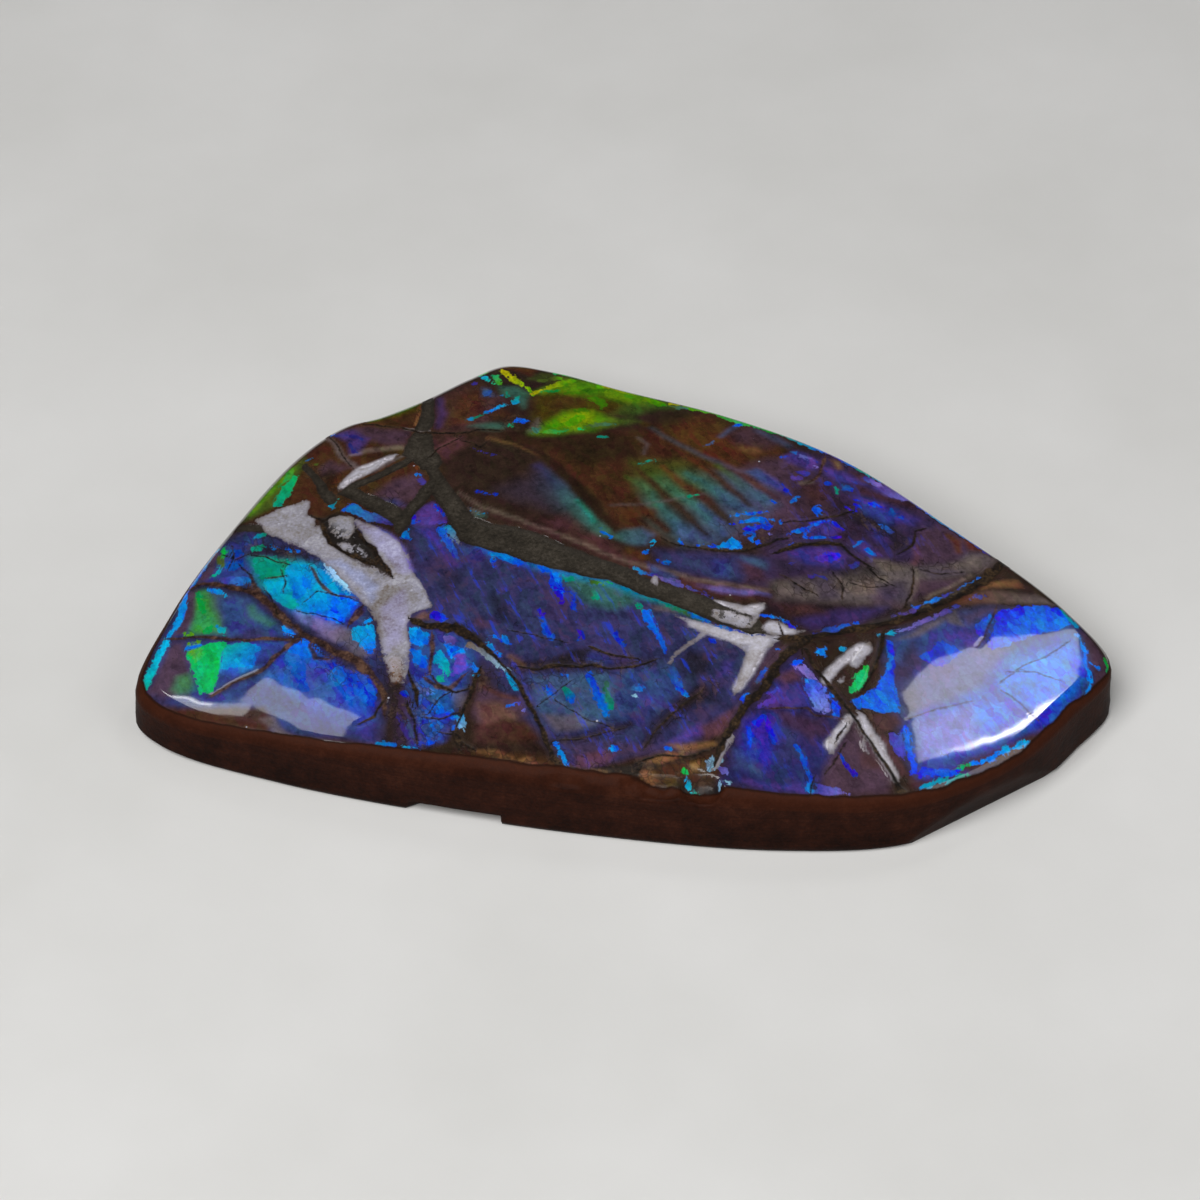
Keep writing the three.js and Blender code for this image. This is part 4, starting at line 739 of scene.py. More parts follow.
    ("indigo cobalt", 1.1, [(26.4, -2.4), (27.6, -1.2), (29.6, -1.4), (29.2, -2.6), (27.4, -3)]),
    ("cobalt", 0.9, [(30.8, 8, 0.5), (31.8, 7.4, 0.6)]),
    ("indigo lilac", 1, [(33.8, 14.6, 0.8), (35.8, 13.2, 0.9)]),
    ("violet lilac", 1, [(35.2, 12.6), (36.8, 13), (39.8, 10.8), (38.6, 10.4), (36.4, 11.6)]),
    ("cobalt indigo", 1, [(35.2, 4.8, 0.5), (36.6, 3.8, 0.6)]),
    ("indigo", 1.1, [(24, 15.4), (26, 15.4), (25.2, 14.4)]),
    ("cobalt", 0.95, [(33.4, 9.4), (35, 9.6), (36, 8.6), (34.4, 8.6)]),
    ("azure", 0.9, [(21.3, 4.7), (21.9, 4.7), (21.7, 3.6)]),
    ("azure", 0.9, [(22.4, 2), (23.2, 3), (24.4, 3.7), (24.8, 3.2), (23.8, 2.6)]),
    ("azure", 0.9, [(24.8, 2, 0.5), (25.4, 3.6, 0.5), (26.8, 5, 0.5)]),
    ("azure cobalt", 0.9, [(24.8, 1.7, 0.5), (27, 1.8, 0.6), (29.5, 1.9, 0.5)]),
    ("azure", 0.8, [(22.6, 0.3), (23.4, 1), (23.9, 0.9), (23.2, 0.2)]),
    ("azure", 0.8, [(26.5, 5.9), (27, 6.9), (27.7, 6.1)]),
    ("cobalt", 0.8, [(20, 8.7), (20.6, 8.8), (21, 8.2), (20.6, 7.9)]),
    ("cobalt", 0.8, [(21.8, 12.2), (23.2, 10.6), (23.4, 9.8), (22.2, 11)]),
    ("azure cobalt", 0.8, [(22.8, 8.3), (23.4, 9.6), (24, 10.1), (24.6, 9.9), (23.4, 8.6)]),
    ("violet", 1, [(23.6, 13.8, 0.9), (24.4, 13.9, 0.9)]),
    ("cobalt", 0.8, [(22, 18.5, 0.7), (22.6, 18.6, 0.7)]),
    ("steel azure", 0.9, [(23.4, 20), (24.4, 20), (24.2, 19.4), (23.4, 19.4)]),
    ("lilac indigo", 0.9, [(25, 19, 0.6), (26.2, 18.4, 0.9), (27, 17.8, 0.6)]),
    ("lilac", 0.9, [(26.5, 16.8, 0.6), (26.9, 16.8, 0.6)]),
    ("cobalt", 0.8, [(28.2, 16), (29, 15.4), (28.8, 15)]),
    ("indigo", 1, [(32, 13.6), (33.2, 13.2), (32.6, 12.9)]),
    ("cobalt", 0.8, [(28.3, 12.9, 0.7), (28.9, 12.9, 0.7)]),
    ("teal", 0.8, [(29.8, 12, 0.4), (29.9, 10.7, 0.5)]),
    ("slate cobalt", 0.8, [(30.4, 12.6), (32.2, 12), (32, 11.2), (30.6, 11.4)]),
    ("cobalt", 0.8, [(31.8, 8.9), (33, 8.8), (32.8, 8.1), (32, 8.2)]),
    ("cobalt", 0.8, [(32.3, 9.7, 0.6), (32.7, 9.7, 0.6)]),
    ("indigo cobalt", 0.8, [(36, 6.4), (37, 7.2), (37.6, 7.8), (37.2, 8.4), (36.2, 7)]),
    ("cobalt", 0.8, [(37.4, 6.8), (38.4, 7), (38.8, 6.4), (37.6, 6.4)]),
    ("azure", 0.8, [(31.5, 0.3, 0.6), (32.4, 1.4, 0.5)]),
    ("azure", 0.8, [(33.3, -0.2, 0.7), (34.1, -0.9, 0.6)]),
    ("cobalt", 0.8, [(27.6, -2), (28.2, -1.4), (29, -1.6), (28.8, -2.4)]),
    ("indigo", 0.9, [(22.2, -3.4, 0.4), (23.4, -3.2, 0.5)]),
    ("indigo", 0.9, [(31, -3.4, 0.4), (32, -2.7, 0.5)]),
    ("indigo", 0.9, [(25.2, -5.6, 0.4), (27.4, -5.9, 0.4)]),
    # between the raised plate and the matrix band
    ("cyan indigo", 0.85, [(1.3, -4.6, 0.5), (2.4, -5.3, 0.7), (4, -5.9, 0.6)]),
    ("lilac indigo", 0.7, [(5, -6.6, 0.6), (8, -8.2, 0.8), (11.6, -10.2, 0.5)]),
    ("azure", 0.8, [(4.5, -3.2, 0.4), (6, -3.7, 0.4)]),
    ("cyan", 0.7, [(-21.2, 8, 0.4), (-19.2, 7.2, 0.4)]),
    ("azure", 0.95, [(18, -13.2), (19, -13.1), (20.4, -13.4), (21.6, -14.2), (19.2, -13.9)]),
    ("cobalt", 0.8, [(21.6, -14.4, 0.5), (23, -15.2, 0.5)]),
    ("indigo azure", 0.8, [(25.5, -16.4, 0.6), (28.6, -15.1, 0.8), (31, -14.1, 0.6)]),
    # left of the centre
    ("azure indigo", 0.9, [(-26.2, 4.8), (-25, 4.8), (-23.6, 1), (-22.2, -2.4), (-23.4, -1.4),
        (-25.4, 2.6)]),
    ("cyan beige", 0.9, [(-24.8, 4.9), (-24, 5), (-23.4, 3.8), (-22.6, 1), (-24.2, 3)]),
    ("cobalt", 0.9, [(-26.4, -11), (-25.4, -11.4), (-24, -13), (-24.6, -13.6), (-26, -12.6)]),
    ("cyan azure", 0.85, [(-18.8, -0.2), (-17, -0.4), (-14, -2.4), (-13.4, -3), (-14.4, -4), (-17.6, -2),
        (-18.6, -1)]),
    ("azure", 0.8, [(-18.8, -0.6, 0.5), (-17.8, -3.4, 0.7)]),
    ("azure", 0.9, [(-12.4, -3.4), (-11, -3.4), (-9.6, -4.8), (-11.6, -4.8)]),
    ("azure cobalt", 0.9, [(-10.2, -4.6), (-9.2, -5), (-8.6, -6.4), (-8.2, -9.8), (-8.8, -10.6),
        (-10, -8)]),
    ("cyan teal", 0.85, [(-9, -5.2, 0.5), (-8.2, -6.2, 0.5)]),
    ("teal", 0.75, [(-8.6, -5.9), (-7.2, -6), (-7, -6.6), (-8.2, -6.8)]),
    ("sage teal", 0.9, [(-4.3, -8.4, 0.6), (-4, -10, 0.8)]),
    ("moss lime", 0.8, [(-5, -7, 0.5), (-2.6, -7.6, 0.6)]),
    ("emerald", 0.8, [(-2.2, -7.5, 0.5), (-1.7, -7.6, 0.5)]),
    ("cobalt", 0.7, [(-7.2, -9, 0.6), (-6.8, -11.4, 0.6)]),
    ("cyan teal", 0.7, [(0, -8.3, 0.4), (3, -9.8, 0.4), (8, -12.4, 0.4), (10, -13.4, 0.4)]),
    ("teal", 0.75, [(1.2, -10), (1.8, -10.8), (2.6, -12), (2.2, -13), (1.6, -12)]),
    ("teal moss", 0.8, [(5.8, -11.9, 0.6), (8.6, -13, 0.7)]),
    ("azure cobalt", 0.9, [(2, -12.2), (3.2, -12.4), (4.2, -15), (4.8, -17), (5.4, -18.6), (5.2, -20.2),
        (4.2, -18), (2.6, -14)]),
    ("azure indigo", 0.8, [(8.6, -13, 0.5), (12, -15.1, 0.6), (17, -16.9, 0.6), (18.8, -16.9, 0.4)]),
    ("cobalt", 0.8, [(11.2, -17.4), (12, -17.4), (12, -18.2), (11.4, -18.2)]),
    ("slate cobalt", 0.9, [(5.4, -22.4), (6.4, -22.6), (8, -26.8), (7.4, -27.4), (6, -24.4)]),
    ("azure", 0.8, [(6.8, -25.8, 0.6), (7.6, -27, 0.8)]),
    ("ice", 1, [(1.2, -27, 0.6), (1.6, -27.2, 0.6)]),
    ("steel azure", 0.8, [(0.4, -26), (1.6, -25.4), (2.6, -26), (2.2, -26.6)]),
    ("azure", 0.9, [(15.2, -26.8), (16.3, -26.6), (15.6, -28.3), (14.9, -27.8)]),
    ("cobalt", 0.8, [(-11.8, -12.2, 0.6), (-11, -14.4, 0.9), (-9.6, -17, 0.7)]),
    ("cobalt", 0.7, [(-9.4, -9, 0.7), (-8.6, -10.6, 0.7)]),
    ("cobalt", 0.75, [(-7, -10.6, 0.6), (-6.6, -12, 0.7)]),
    ("cobalt", 0.7, [(-6.4, -15.4, 0.5), (-6.2, -17.2, 0.5)]),
    ("cobalt", 0.7, [(-1.6, -16, 0.5), (-1, -17, 0.7), (-0.4, -18.4, 0.6)]),
    ("azure", 0.85, [(-8.4, -23), (-7.4, -23), (-7.6, -23.9)]),
    ("cobalt azure", 0.8, [(-5, -23, 0.7), (-4.4, -25, 1.1), (-3, -29, 1.1), (-2.8, -30.2, 0.7)]),
    ("teal azure", 0.75, [(-8, -25.6, 0.7), (-7.2, -27.4, 0.9)]),
    ("azure", 0.75, [(-10.4, -25.2, 0.5), (-9.8, -26.8, 0.5)]),
    ("sage teal", 0.8, [(-2.6, -25, 0.6), (-2, -29, 0.8)]),
    ("azure", 0.9, [(-1.9, -35.6, 0.6), (-1.3, -35.6, 0.7)]),
    ("azure", 0.8, [(5.4, -35.5, 0.5), (5.9, -35.5, 0.5)]),
    # lower left
    ("cyan azure", 0.95, [(-29.2, -13.4), (-28, -13.8), (-26.4, -15.4), (-26.4, -17), (-27.6, -17.4),
        (-28.8, -16.6)]),
    ("azure", 0.8, [(-28.8, -17.8), (-27.4, -17.8), (-26.2, -20), (-26.4, -21.8), (-28.4, -20)]),
    ("lilac violet", 0.9, [(-25, -15.2), (-23, -16), (-22.6, -17), (-23.4, -17.4), (-24.4, -16.4)]),
    ("azure", 1.05, [(-24.6, -17), (-22.8, -17.8), (-22.8, -20), (-23.6, -19.6)]),
    ("azure", 1, [(-22.8, -18), (-21.8, -18.2), (-21.4, -19), (-22.4, -19.2)]),
    ("cyan teal", 0.95, [(-25.4, -18.4), (-24.8, -18), (-23.4, -20.6), (-23.2, -22.6), (-23.8, -23),
        (-25.4, -20)]),
    ("teal", 0.85, [(-25, -22.8), (-24, -22.6), (-23.8, -23.8), (-25, -23.6)]),
    ("violet indigo", 1.3, [(-22.6, -19.2), (-21.6, -19), (-20.9, -21.6), (-21.6, -22.4), (-22.9, -22.9)]),
    ("azure", 0.9, [(-21, -21, 0.6), (-20.3, -22.2, 0.6)]),
    ("cyan", 0.9, [(-20.2, -23.1, 0.5), (-19.8, -23.1, 0.5)]),
    ("cyan", 0.85, [(-16.4, -22.6), (-15.2, -22.8), (-14, -25.6), (-15.2, -25.4)]),
    ("ice", 0.75, [(10.4, -37.4), (12.4, -36.6), (12.8, -37.6), (11.4, -39), (10.2, -38.8)]),
    ("azure", 0.85, [(-9, -34.6, 0.6), (-8.4, -36, 0.7), (-8, -37.8, 0.5)]),
    ("azure cobalt", 0.9, [(-18.4, -16.2), (-16.4, -16.2), (-15.4, -18.2), (-17, -17)]),
    ("cyan azure", 0.85, [(-18.6, -17.3, 0.5), (-17, -19.8, 0.6)]),
    ("beige ice", 0.9, [(-21, -17.8, 0.8), (-19.6, -18.8, 0.9), (-18.2, -20.4, 0.9), (-17, -21.8, 0.8),
        (-15.6, -22.8, 0.5)]),
    ("azure lilac", 0.8, [(-15.4, -28.2, 0.5), (-14.2, -27.8, 0.6), (-13.4, -29.6, 0.5)]),
    ("lilac azure", 0.85, [(-27, -24.8), (-26, -24.8), (-25, -26), (-26.4, -25.8)]),
    ("azure", 0.9, [(-25.8, -27.6), (-24.8, -27.2), (-24, -28.2), (-24.6, -29), (-25.6, -28.4)]),
    ("azure", 0.9, [(-24.2, -28.6), (-23, -28.8), (-22.6, -29.6), (-23.4, -29.6)]),
    ("cyan ice", 0.95, [(-22.4, -29.4), (-21.4, -29.2), (-21.2, -31.8), (-22, -31)]),
    ("azure", 0.8, [(-23, -30.4), (-22.2, -30.6), (-22.4, -31.6), (-23, -31.4)]),
    ("azure", 0.8, [(-25.8, -30), (-24.4, -30.2), (-25.8, -30.8)]),
    ("indigo", 0.7, [(-30.2, -28.4, 0.5), (-29.2, -31, 0.7), (-28, -33.4, 0.5)]),
    ("steel", 0.9, [(-29.2, -29.6, 0.4), (-28, -32.4, 0.5)]),
    ("azure", 0.7, [(-29.6, -24.8, 0.5), (-29.2, -25.6, 0.4)]),
    ("azure", 0.9, [(-26.4, -33.4), (-24.4, -32.2), (-25, -33.4), (-26, -34)]),
    ("cyan", 0.95, [(-29.4, -34, 0.5), (-27.4, -34.8, 0.8), (-25.8, -35.8, 0.5)]),
    ("cyan azure", 0.8, [(-33, -33, 0.5), (-30.4, -33.4, 0.5)]),
    ("cyan", 0.8, [(-13.6, -38.4, 0.4), (-11.4, -39.4, 0.5)]),
    ("teal", 0.8, [(-0.9, -40.5, 0.5), (-0.5, -40.6, 0.5)]),
    ("emerald", 0.9, [(7.4, -38.2), (8, -38.4), (8.2, -39.4), (7.2, -38.8)]),
    ("cyan teal", 0.9, [(8, -39.6, 0.6), (9.2, -40.6, 0.6)]),
    ("ice", 0.9, [(12.4, -40.8, 0.6), (13.6, -41, 0.6)]),
    ("violet lilac", 0.9, [(12, -38.4), (13.4, -38.6), (13.6, -39.4), (12.6, -39.4)]),
    # lower right
    ("azure", 0.8, [(20, -19), (21.2, -18.9), (20, -19.5)]),
    ("steel azure", 0.8, [(17.2, -24.6, 0.6), (18.8, -22.6, 0.7)]),
    ("azure", 0.95, [(22, -21.8), (22.8, -20.8), (23.9, -20.6), (23, -22.2)]),
    ("lilac", 0.9, [(22.4, -22.2), (23.8, -21.4), (26, -25.2), (24, -24)]),
    ("azure lilac", 0.95, [(23.3, -24), (24.2, -23.6), (25.4, -24.2), (26.8, -26.8), (27.4, -28.6),
        (27, -29.6), (26, -29.6), (24.8, -28.8), (24, -27.2)]),
    ("indigo", 1.2, [(17.2, -29.2), (18, -28), (20, -27), (19.8, -28.2)]),
    ("indigo", 1.2, [(18.6, -26.6), (20.2, -25.2), (20.4, -26), (19.2, -27)]),
    ("cobalt", 0.9, [(15.6, -32), (16.4, -32.2), (16.6, -35.4), (15.9, -35.9)]),
    ("cobalt", 0.85, [(16.6, -31.6), (18, -30.2), (18.6, -30.4), (17.2, -32.6)]),
    ("cobalt", 0.75, [(18.6, -31, 0.6), (19, -32.8, 0.9), (19.4, -34.4, 0.5)]),
    ("cobalt", 0.75, [(22, -35, 0.5), (23, -37, 0.9), (24, -39.6, 0.6)]),
    ("cobalt azure", 0.8, [(24.2, -40, 0.6), (23.8, -41.8, 0.7)]),
    ("indigo lilac", 0.9, [(25, -40.6), (27, -41), (29, -42), (24.4, -42.6)]),
    ("cobalt", 0.75, [(28, -36, 0.4), (29.8, -38.8, 0.5)]),
    ("azure cobalt", 0.9, [(26.6, -25.4), (28.4, -28.6), (28.2, -30.4), (27.4, -30.6)]),
    ("azure", 0.9, [(25.4, -19), (26.8, -18.2), (26.8, -20), (25.2, -19.6)]),
    ("cyan", 0.9, [(29, -18.5, 0.6), (29.4, -18.5, 0.6)]),
    ("emerald", 1, [(29.8, -25.8), (30, -23.8), (32.4, -21.2), (32.3, -23.4), (31, -25)]),
    ("cobalt azure", 0.9, [(35.2, -16.4), (36, -17), (35.8, -22), (36.2, -28.6), (34.4, -28.8), (31, -28.6),
        (30, -27.4), (31, -26), (32.8, -25.4), (34.6, -22.4), (35.4, -20)]),
    ("cobalt", 1, [(36.4, -30), (37.2, -31), (38, -36), (38, -38.4), (37.2, -38.6), (36.8, -34)]),
    ("indigo", 1.3, [(34.8, -32.4), (36, -32), (36.8, -34), (36.6, -36.6), (34.8, -33.6)]),
    # right end
    ("cobalt azure", 1, [(50.4, -10.4), (53.4, -9), (55.6, -8.7), (59.4, -9), (60.2, -10.2), (60.6, -11.6),
        (58.8, -12.6), (57, -13), (53, -15.2), (49.6, -17.2), (49, -16.4), (49.8, -14), (50.6, -12)]),
    ("cobalt azure", 0.95, [(47.4, -13.4), (49.8, -10.8), (50, -11.8), (48.8, -14.6), (48, -15.2)]),
    ("cobalt", 0.85, [(39, -19), (42.6, -16.6), (44.6, -17.4), (45.6, -18.2), (42.4, -21), (40.6, -20.4)]),
    ("cyan", 0.9, [(34.4, -16, 0.5), (35.4, -15.6, 0.7), (36.6, -15.2, 0.6)]),
    ("lilac indigo", 0.9, [(36.6, -15, 0.5), (39.6, -13.2, 0.7), (42.4, -11.8, 0.7), (45.4, -9.8, 0.5)]),
    ("azure", 0.9, [(39, -10.6, 0.5), (41, -9.8, 0.7), (43.4, -8.4, 0.6)]),
    ("violet", 0.9, [(36, -12.4, 0.4), (39, -10.9, 0.5)]),
    ("indigo azure", 0.9, [(43.2, -8.4, 0.5), (46.6, -5.9, 0.5), (48.6, -4.6, 0.5)]),
    ("lilac indigo", 0.8, [(46.8, -8.4), (48.4, -8.2), (49, -7.6), (47.6, -7.6)]),
    ("teal cyan", 0.9, [(59.4, -8.9, 0.5), (60.9, -11, 0.5), (61.4, -12, 0.5)]),
    ("azure", 0.9, [(62.7, -18.1, 0.7), (63.7, -18.6, 0.6)]),
    ("emerald", 0.9, [(64.8, -16.4, 0.5), (65.2, -18, 0.6), (65.1, -19.6, 0.5)]),
    ("azure", 1, [(61.4, -13.4, 0.5), (62.2, -16, 0.6), (62.1, -18, 0.6), (62.3, -22, 0.6),
        (60.4, -25.2, 0.6), (56.8, -28.8, 0.5)]),
    ("gold olive", 0.8, [(57, -29.6, 0.5), (53.6, -32.3, 0.6)]),
    ("cyan azure", 1, [(53, -32.2, 0.6), (51.2, -33.1, 0.8), (48.4, -34.7, 0.8), (45.4, -36.3, 0.7)]),
    ("emerald teal", 0.9, [(45.2, -36.5, 0.5), (41.8, -38.2, 0.6)]),
    ("teal cyan", 0.8, [(45, -37.8, 0.5), (41, -39.3, 0.5), (38.2, -40.5, 0.5)]),
    ("cobalt", 0.95, [(38, -37.6), (41, -37.4), (44.4, -37.1), (43, -38.2), (40, -38.8), (38.2, -39)]),
]

# Zones with fine steep streaks of blue in the violet: amount, blur, outline
streakZones = [
    (0.9, 2.5, [(-28, 4), (-12, -4), (4, -11), (16, -19), (12, -30), (4, -36), (-6, -37), (-14, -26),
        (-22, -16), (-28, -10)]),
    (0.6, 2, [(22, -22), (28, -30), (24, -41), (13, -40), (16, -31)]),
    (0.5, 2, [(-46, -17), (-34, -22), (-34, -31), (-46, -28)]),
    (0.3, 2, [(23, 18), (40, 9), (46, 2), (30, -4), (22, 2)]),
]

# Zones where the shell is broken small: amount, blur, then a streak or the outline of a patch
fractureZones = [
    (0.9, 2, [(-33, -19, 4), (-29, -25, 7), (-27, -31, 8), (-26, -34.6, 4)]),
    (0.8, 1.5, [(-20, -22), (-10, -20), (2, -19.6), (5, -22), (-4, -24.4), (-16, -26), (-22, -26)]),
    (0.8, 1.5, [(-57, 6), (-49, 6.6), (-42, 1), (-40, -5), (-44, -2), (-52, 2)]),
    (0.7, 2, [(-36, -14, 3), (-40, -19, 4), (-36, -22, 4)]),
    (0.8, 1.5, [(-25, -36, 3), (-12, -37.4, 4), (0, -39, 4), (10, -38.4, 4)]),
    (0.7, 1.5, [(-45, 21, 2), (-40, 14, 4), (-33, 11, 5), (-30, 6, 3)]),
    (0.6, 2, [(14, 3, 3), (20, 2, 5), (27, 3, 5), (31, 8, 3)]),
    (0.6, 2, [(-22, 36, 4), (-18, 29, 6), (-12, 25.4, 3)]),
    (0.6, 1.5, [(26, -22, 4), (29, -29, 5), (33, -30, 4)]),
    (0.9, 0.6, [(11, -12, 1.2), (15, -14, 1.8), (17.4, -14.6, 1)]),
    (0.8, 1, [(30, 9, 2), (34, 5, 3), (37.6, 1.6, 3)]),
    (0.95, 1.2, [(20.6, -8.4, 2), (24, -8.6, 2.6), (33, -6, 3), (36, -3, 3), (46, -2, 2)]),
    (0.85, 1.2, [(2.8, -35, 1.5), (5.5, -31.5, 2.5), (9, -27.5, 2.5), (12, -25, 1.5)]),
    (0.75, 1, [(-11, -34, 1.5), (-4, -33, 2), (1, -31.6, 1.5)]),
]

# Raised plate of ribbed shell and the thin film of shell beside the matrix band
raised = {
    "rise": 0.26, "fade": (6, 24), "slope": 2.2,
    "outline": [(-25, 25), (-12, 22.6), (-9, 17), (-5.5, 8.5), (0.5, 1), (8, -1.2), (17, -1), (26, 3.6),
        (36, 9.5), (29.5, 18.5), (14.5, 26.6), (-0.5, 33), (-12, 38), (-17.5, 39.5), (-22.5, 36)],
    "edge": [(-12, 22.6, 0), (-9, 17, 0), (-5.5, 8.5, 0), (0.5, 1, 0), (8, -1.2, 0), (17, -1, 0),
        (26, 3.6, 0)],
}
film = {
    "rise": 0.14, "fade": 7, "slope": 0.6, "from": (-23.5, -22), "to": (19, 21),
    "edge": [(-22.8, 11.8, 0), (-18.4, 8.4, 0), (-13.5, 4.8, 0), (-7.5, 1.5, 0), (-1.5, -1.8, 0),
        (4.5, -4.8, 0), (10.5, -7.2, 0), (16.5, -8.4, 0), (20, -8.6, 0)],
}

# Depths of what lies lower than the polished crown, with the gaps at which each starts and is full
troughs = {"matrix": (0.34, 0.5, -1.1), "calcite": (0.06, 0.5, -0.9), "seam": (0.012, 0.4, -0.5),
           "crack": (0.08, 0.25, -0.5)}
waves = [(0.035, 14), (0.006, 5)]         # height and size of the polish's faint undulations
crumble = {"depth": 0.4, "cell": 2.2,
           "route": [(-26, -36.6, 1.5), (-14, -38.4, 2.4), (-3, -40.6, 3.4), (6, -39, 4), (11, -40.6, 2)]}
pocket = {"depth": 0.6, "cell": 1.3,
          "route": [(-41.6, 7.6, 1), (-39.6, 4, 2.6), (-36.4, 0.6, 2.4), (-33, -3.6, 0.8)]}

# Broken spots on the near edge, and the flat ground on the lower edge at the right-hand end
chips = [{"at": (3, -42, 10.4), "size": (5.5, 2.6, 2)}, {"at": (9.5, -41.6, 9.8), "size": (3, 2.2, 1.6)},
         {"at": (-9, -40.6, 9.6), "size": (4, 1.6, 1.2)}]
chipGrain = (0.5, 1)                      # height and size of the roughness inside a chip
bottomStep = {"from": (-29.4, -28.2), "to": (-17.3, -16.4), "height": (1.3, 1.8), "depth": 1.6}
groundFacet = {"at": (47.4, -35.4), "turn": 0.573, "lean": 0.32, "after": 20}


# Closed smooth curve through all the points: between each two, three rounds of straight blending over knots
# that lie as far apart as the square roots of the distances between points
def closedCurve(points, steps):
    p = np.array(points, float)
    q = [np.roll(p, k, axis=0)[:, None, :] for k in (1, 0, -1, -2)]
    gaps = [np.sqrt(np.linalg.norm(q[k + 1] - q[k], axis=2))[..., None] for k in range(3)]
    k0 = np.zeros_like(gaps[0])
    k1, k2, k3 = gaps[0], gaps[0] + gaps[1], gaps[0] + gaps[1] + gaps[2]
    t = k1 + (k2 - k1) * (np.arange(steps) / steps)[None, :, None]
    a1 = ((k1 - t) * q[0] + (t - k0) * q[1]) / (k1 - k0)
    a2 = ((k2 - t) * q[1] + (t - k1) * q[2]) / (k2 - k1)
    a3 = ((k3 - t) * q[2] + (t - k2) * q[3]) / (k3 - k2)
    b1 = ((k2 - t) * a1 + (t - k0) * a2) / (k2 - k0)
    b2 = ((k3 - t) * a2 + (t - k1) * a3) / (k3 - k1)
    return (((k2 - t) * b1 + (t - k1) * b2) / (k2 - k1)).reshape(-1, 2)


# Nearest foot on a straight run from a to b: its share of the run, held between the ends, and its distance
def footOnRun(x, y, ax, ay, bx, by):
    t = np.clip(((x - ax) * (bx - ax) + (y - ay) * (by - ay)) / ((bx - ax) ** 2 + (by - ay) ** 2), 0, 1)
    return t, np.hypot(x - ax - t * (bx - ax), y - ay - t * (by - ay))


# Gap from each place to a streak, less its half width there, and the share of the streak's length: the
# nearest foot on any of its straight runs, with the width blended between the run's ends. Then the distance
# to the middle line, plus on its left and minus on its right, and the half width
def streakSides(x, y, route):
    r = np.array(route, float)
    best, along = np.full(x.shape, farAway), np.zeros(x.shape)
    side, half = np.full(x.shape, farAway), np.zeros(x.shape)
    runs = np.hypot(*np.diff(r[:, :2], axis=0).T)
    starts = np.concatenate([[0], np.cumsum(runs)]) / runs.sum()
    for k in range(len(r) - 1):
        (ax, ay, aw), (bx, by, bw) = r[k], r[k + 1]
        t, away = footOnRun(x, y, ax, ay, bx, by)
        wide = (aw + t * (bw - aw)) / 2
        closer = away - wide < best
        best = np.where(closer, away - wide, best)
        along = np.where(closer, starts[k] + t * (starts[k + 1] - starts[k]), along)
        side = np.where(closer, away * np.sign((bx - ax) * (y - ay) - (by - ay) * (x - ax)), side)
        half = np.where(closer, wide, half)
    return best, along, side, half


def streakGap(x, y, route):
    return streakSides(x, y, route)[:2]


# Gap from each place to the edge of a plate, negative inside by the crossing count, and the share of the way
# from the plate's first corner to the corner farthest from it
def plateGap(x, y, outline):
    p = np.array(outline, float)
    q = np.roll(p, -1, axis=0)
    best, inside = np.full(x.shape, farAway), np.zeros(x.shape, bool)
    for (ax, ay), (bx, by) in zip(p, q):
        best = np.minimum(best, footOnRun(x, y, ax, ay, bx, by)[1])
        crosses = (ay > y) != (by > y)
        inside ^= crosses & (x < ax + (y - ay) * (bx - ax) / (by - ay if by != ay else 1))
    far = p[np.argmax(np.hypot(*(p - p[0]).T))] - p[0]
    along = np.clip(((x - p[0, 0]) * far[0] + (y - p[0, 1]) * far[1]) / (far @ far), 0, 1)
    return np.where(inside, -best, best), along


# True for the places inside the box round a shape, grown by the reach
def withinReach(x, y, points, reach):
    p = np.array([q[:2] for q in points])
    near = (x > p[:, 0].min() - reach) & (x < p[:, 0].max() + reach)
    return near & (y > p[:, 1].min() - reach) & (y < p[:, 1].max() + reach)


# Gap and place along a streak or a plate, worked out only for the places within reach of it
def shapeGap(x, y, points, reach=6):
    near = withinReach(x, y, points, reach)
    gap, along = np.full(x.shape, float(reach)), np.zeros(x.shape)
    measure = streakGap if len(points[0]) == 3 else plateGap
    gap[near], along[near] = measure(x[near], y[near], points)
    return gap, along


# Smallest gap to any of the shapes
def nearestGap(x, y, shapes):
    return np.min([shapeGap(x, y, shape)[0] for shape in shapes], axis=0)


# Gap, signed distance to the middle line and half width of whichever of the lines is nearest
def nearestLine(x, y, lines, reach=3):
    best = [np.full(x.shape, float(reach)), np.full(x.shape, float(reach)), np.zeros(x.shape)]
    for line in lines:
        near = withinReach(x, y, line, reach)
        gap, along, side, half = streakSides(x[near], y[near], line)
        closer = gap < best[0][near]
        for values, new in zip(best, (gap, side, half)):
            values[near] = np.where(closer, new, values[near])
    return best


# Height of the polished crown over the plan: a dome with one bending radius along and one across
def crownHeight(x, y):
    c = slab["crown"]
    alongDrop = (x - c["x"]) ** 2 / (2 * c["radiusAlong"])
    return c["height"] - alongDrop - (y - c["y"]) ** 2 / (2 * c["radiusAcross"])


# Soft-edged amount of a zone: full inside its edge by the blur, none outside by the blur
def zoneAmount(x, y, blur, points):
    return 1 - ease(-blur, blur, shapeGap(x, y, points)[0])


# Linear colour from the eight-bit values that a screen shows
def screen(r, g, b):
    tones = [((c / 255 + 0.055) / 1.055) ** 2.4 if c > 10 else c / 255 / 12.92 for c in (r, g, b)]
    return (*tones, 1)


# Colour at each place along a shape: its one named colour, or a straight blend from its first to its second
def shapeColour(names, along):
    ends = [np.array(screen(*colours[name])[:3]) for name in names.split()]
    return ends[0] + (ends[-1] - ends[0]) * along[..., None]


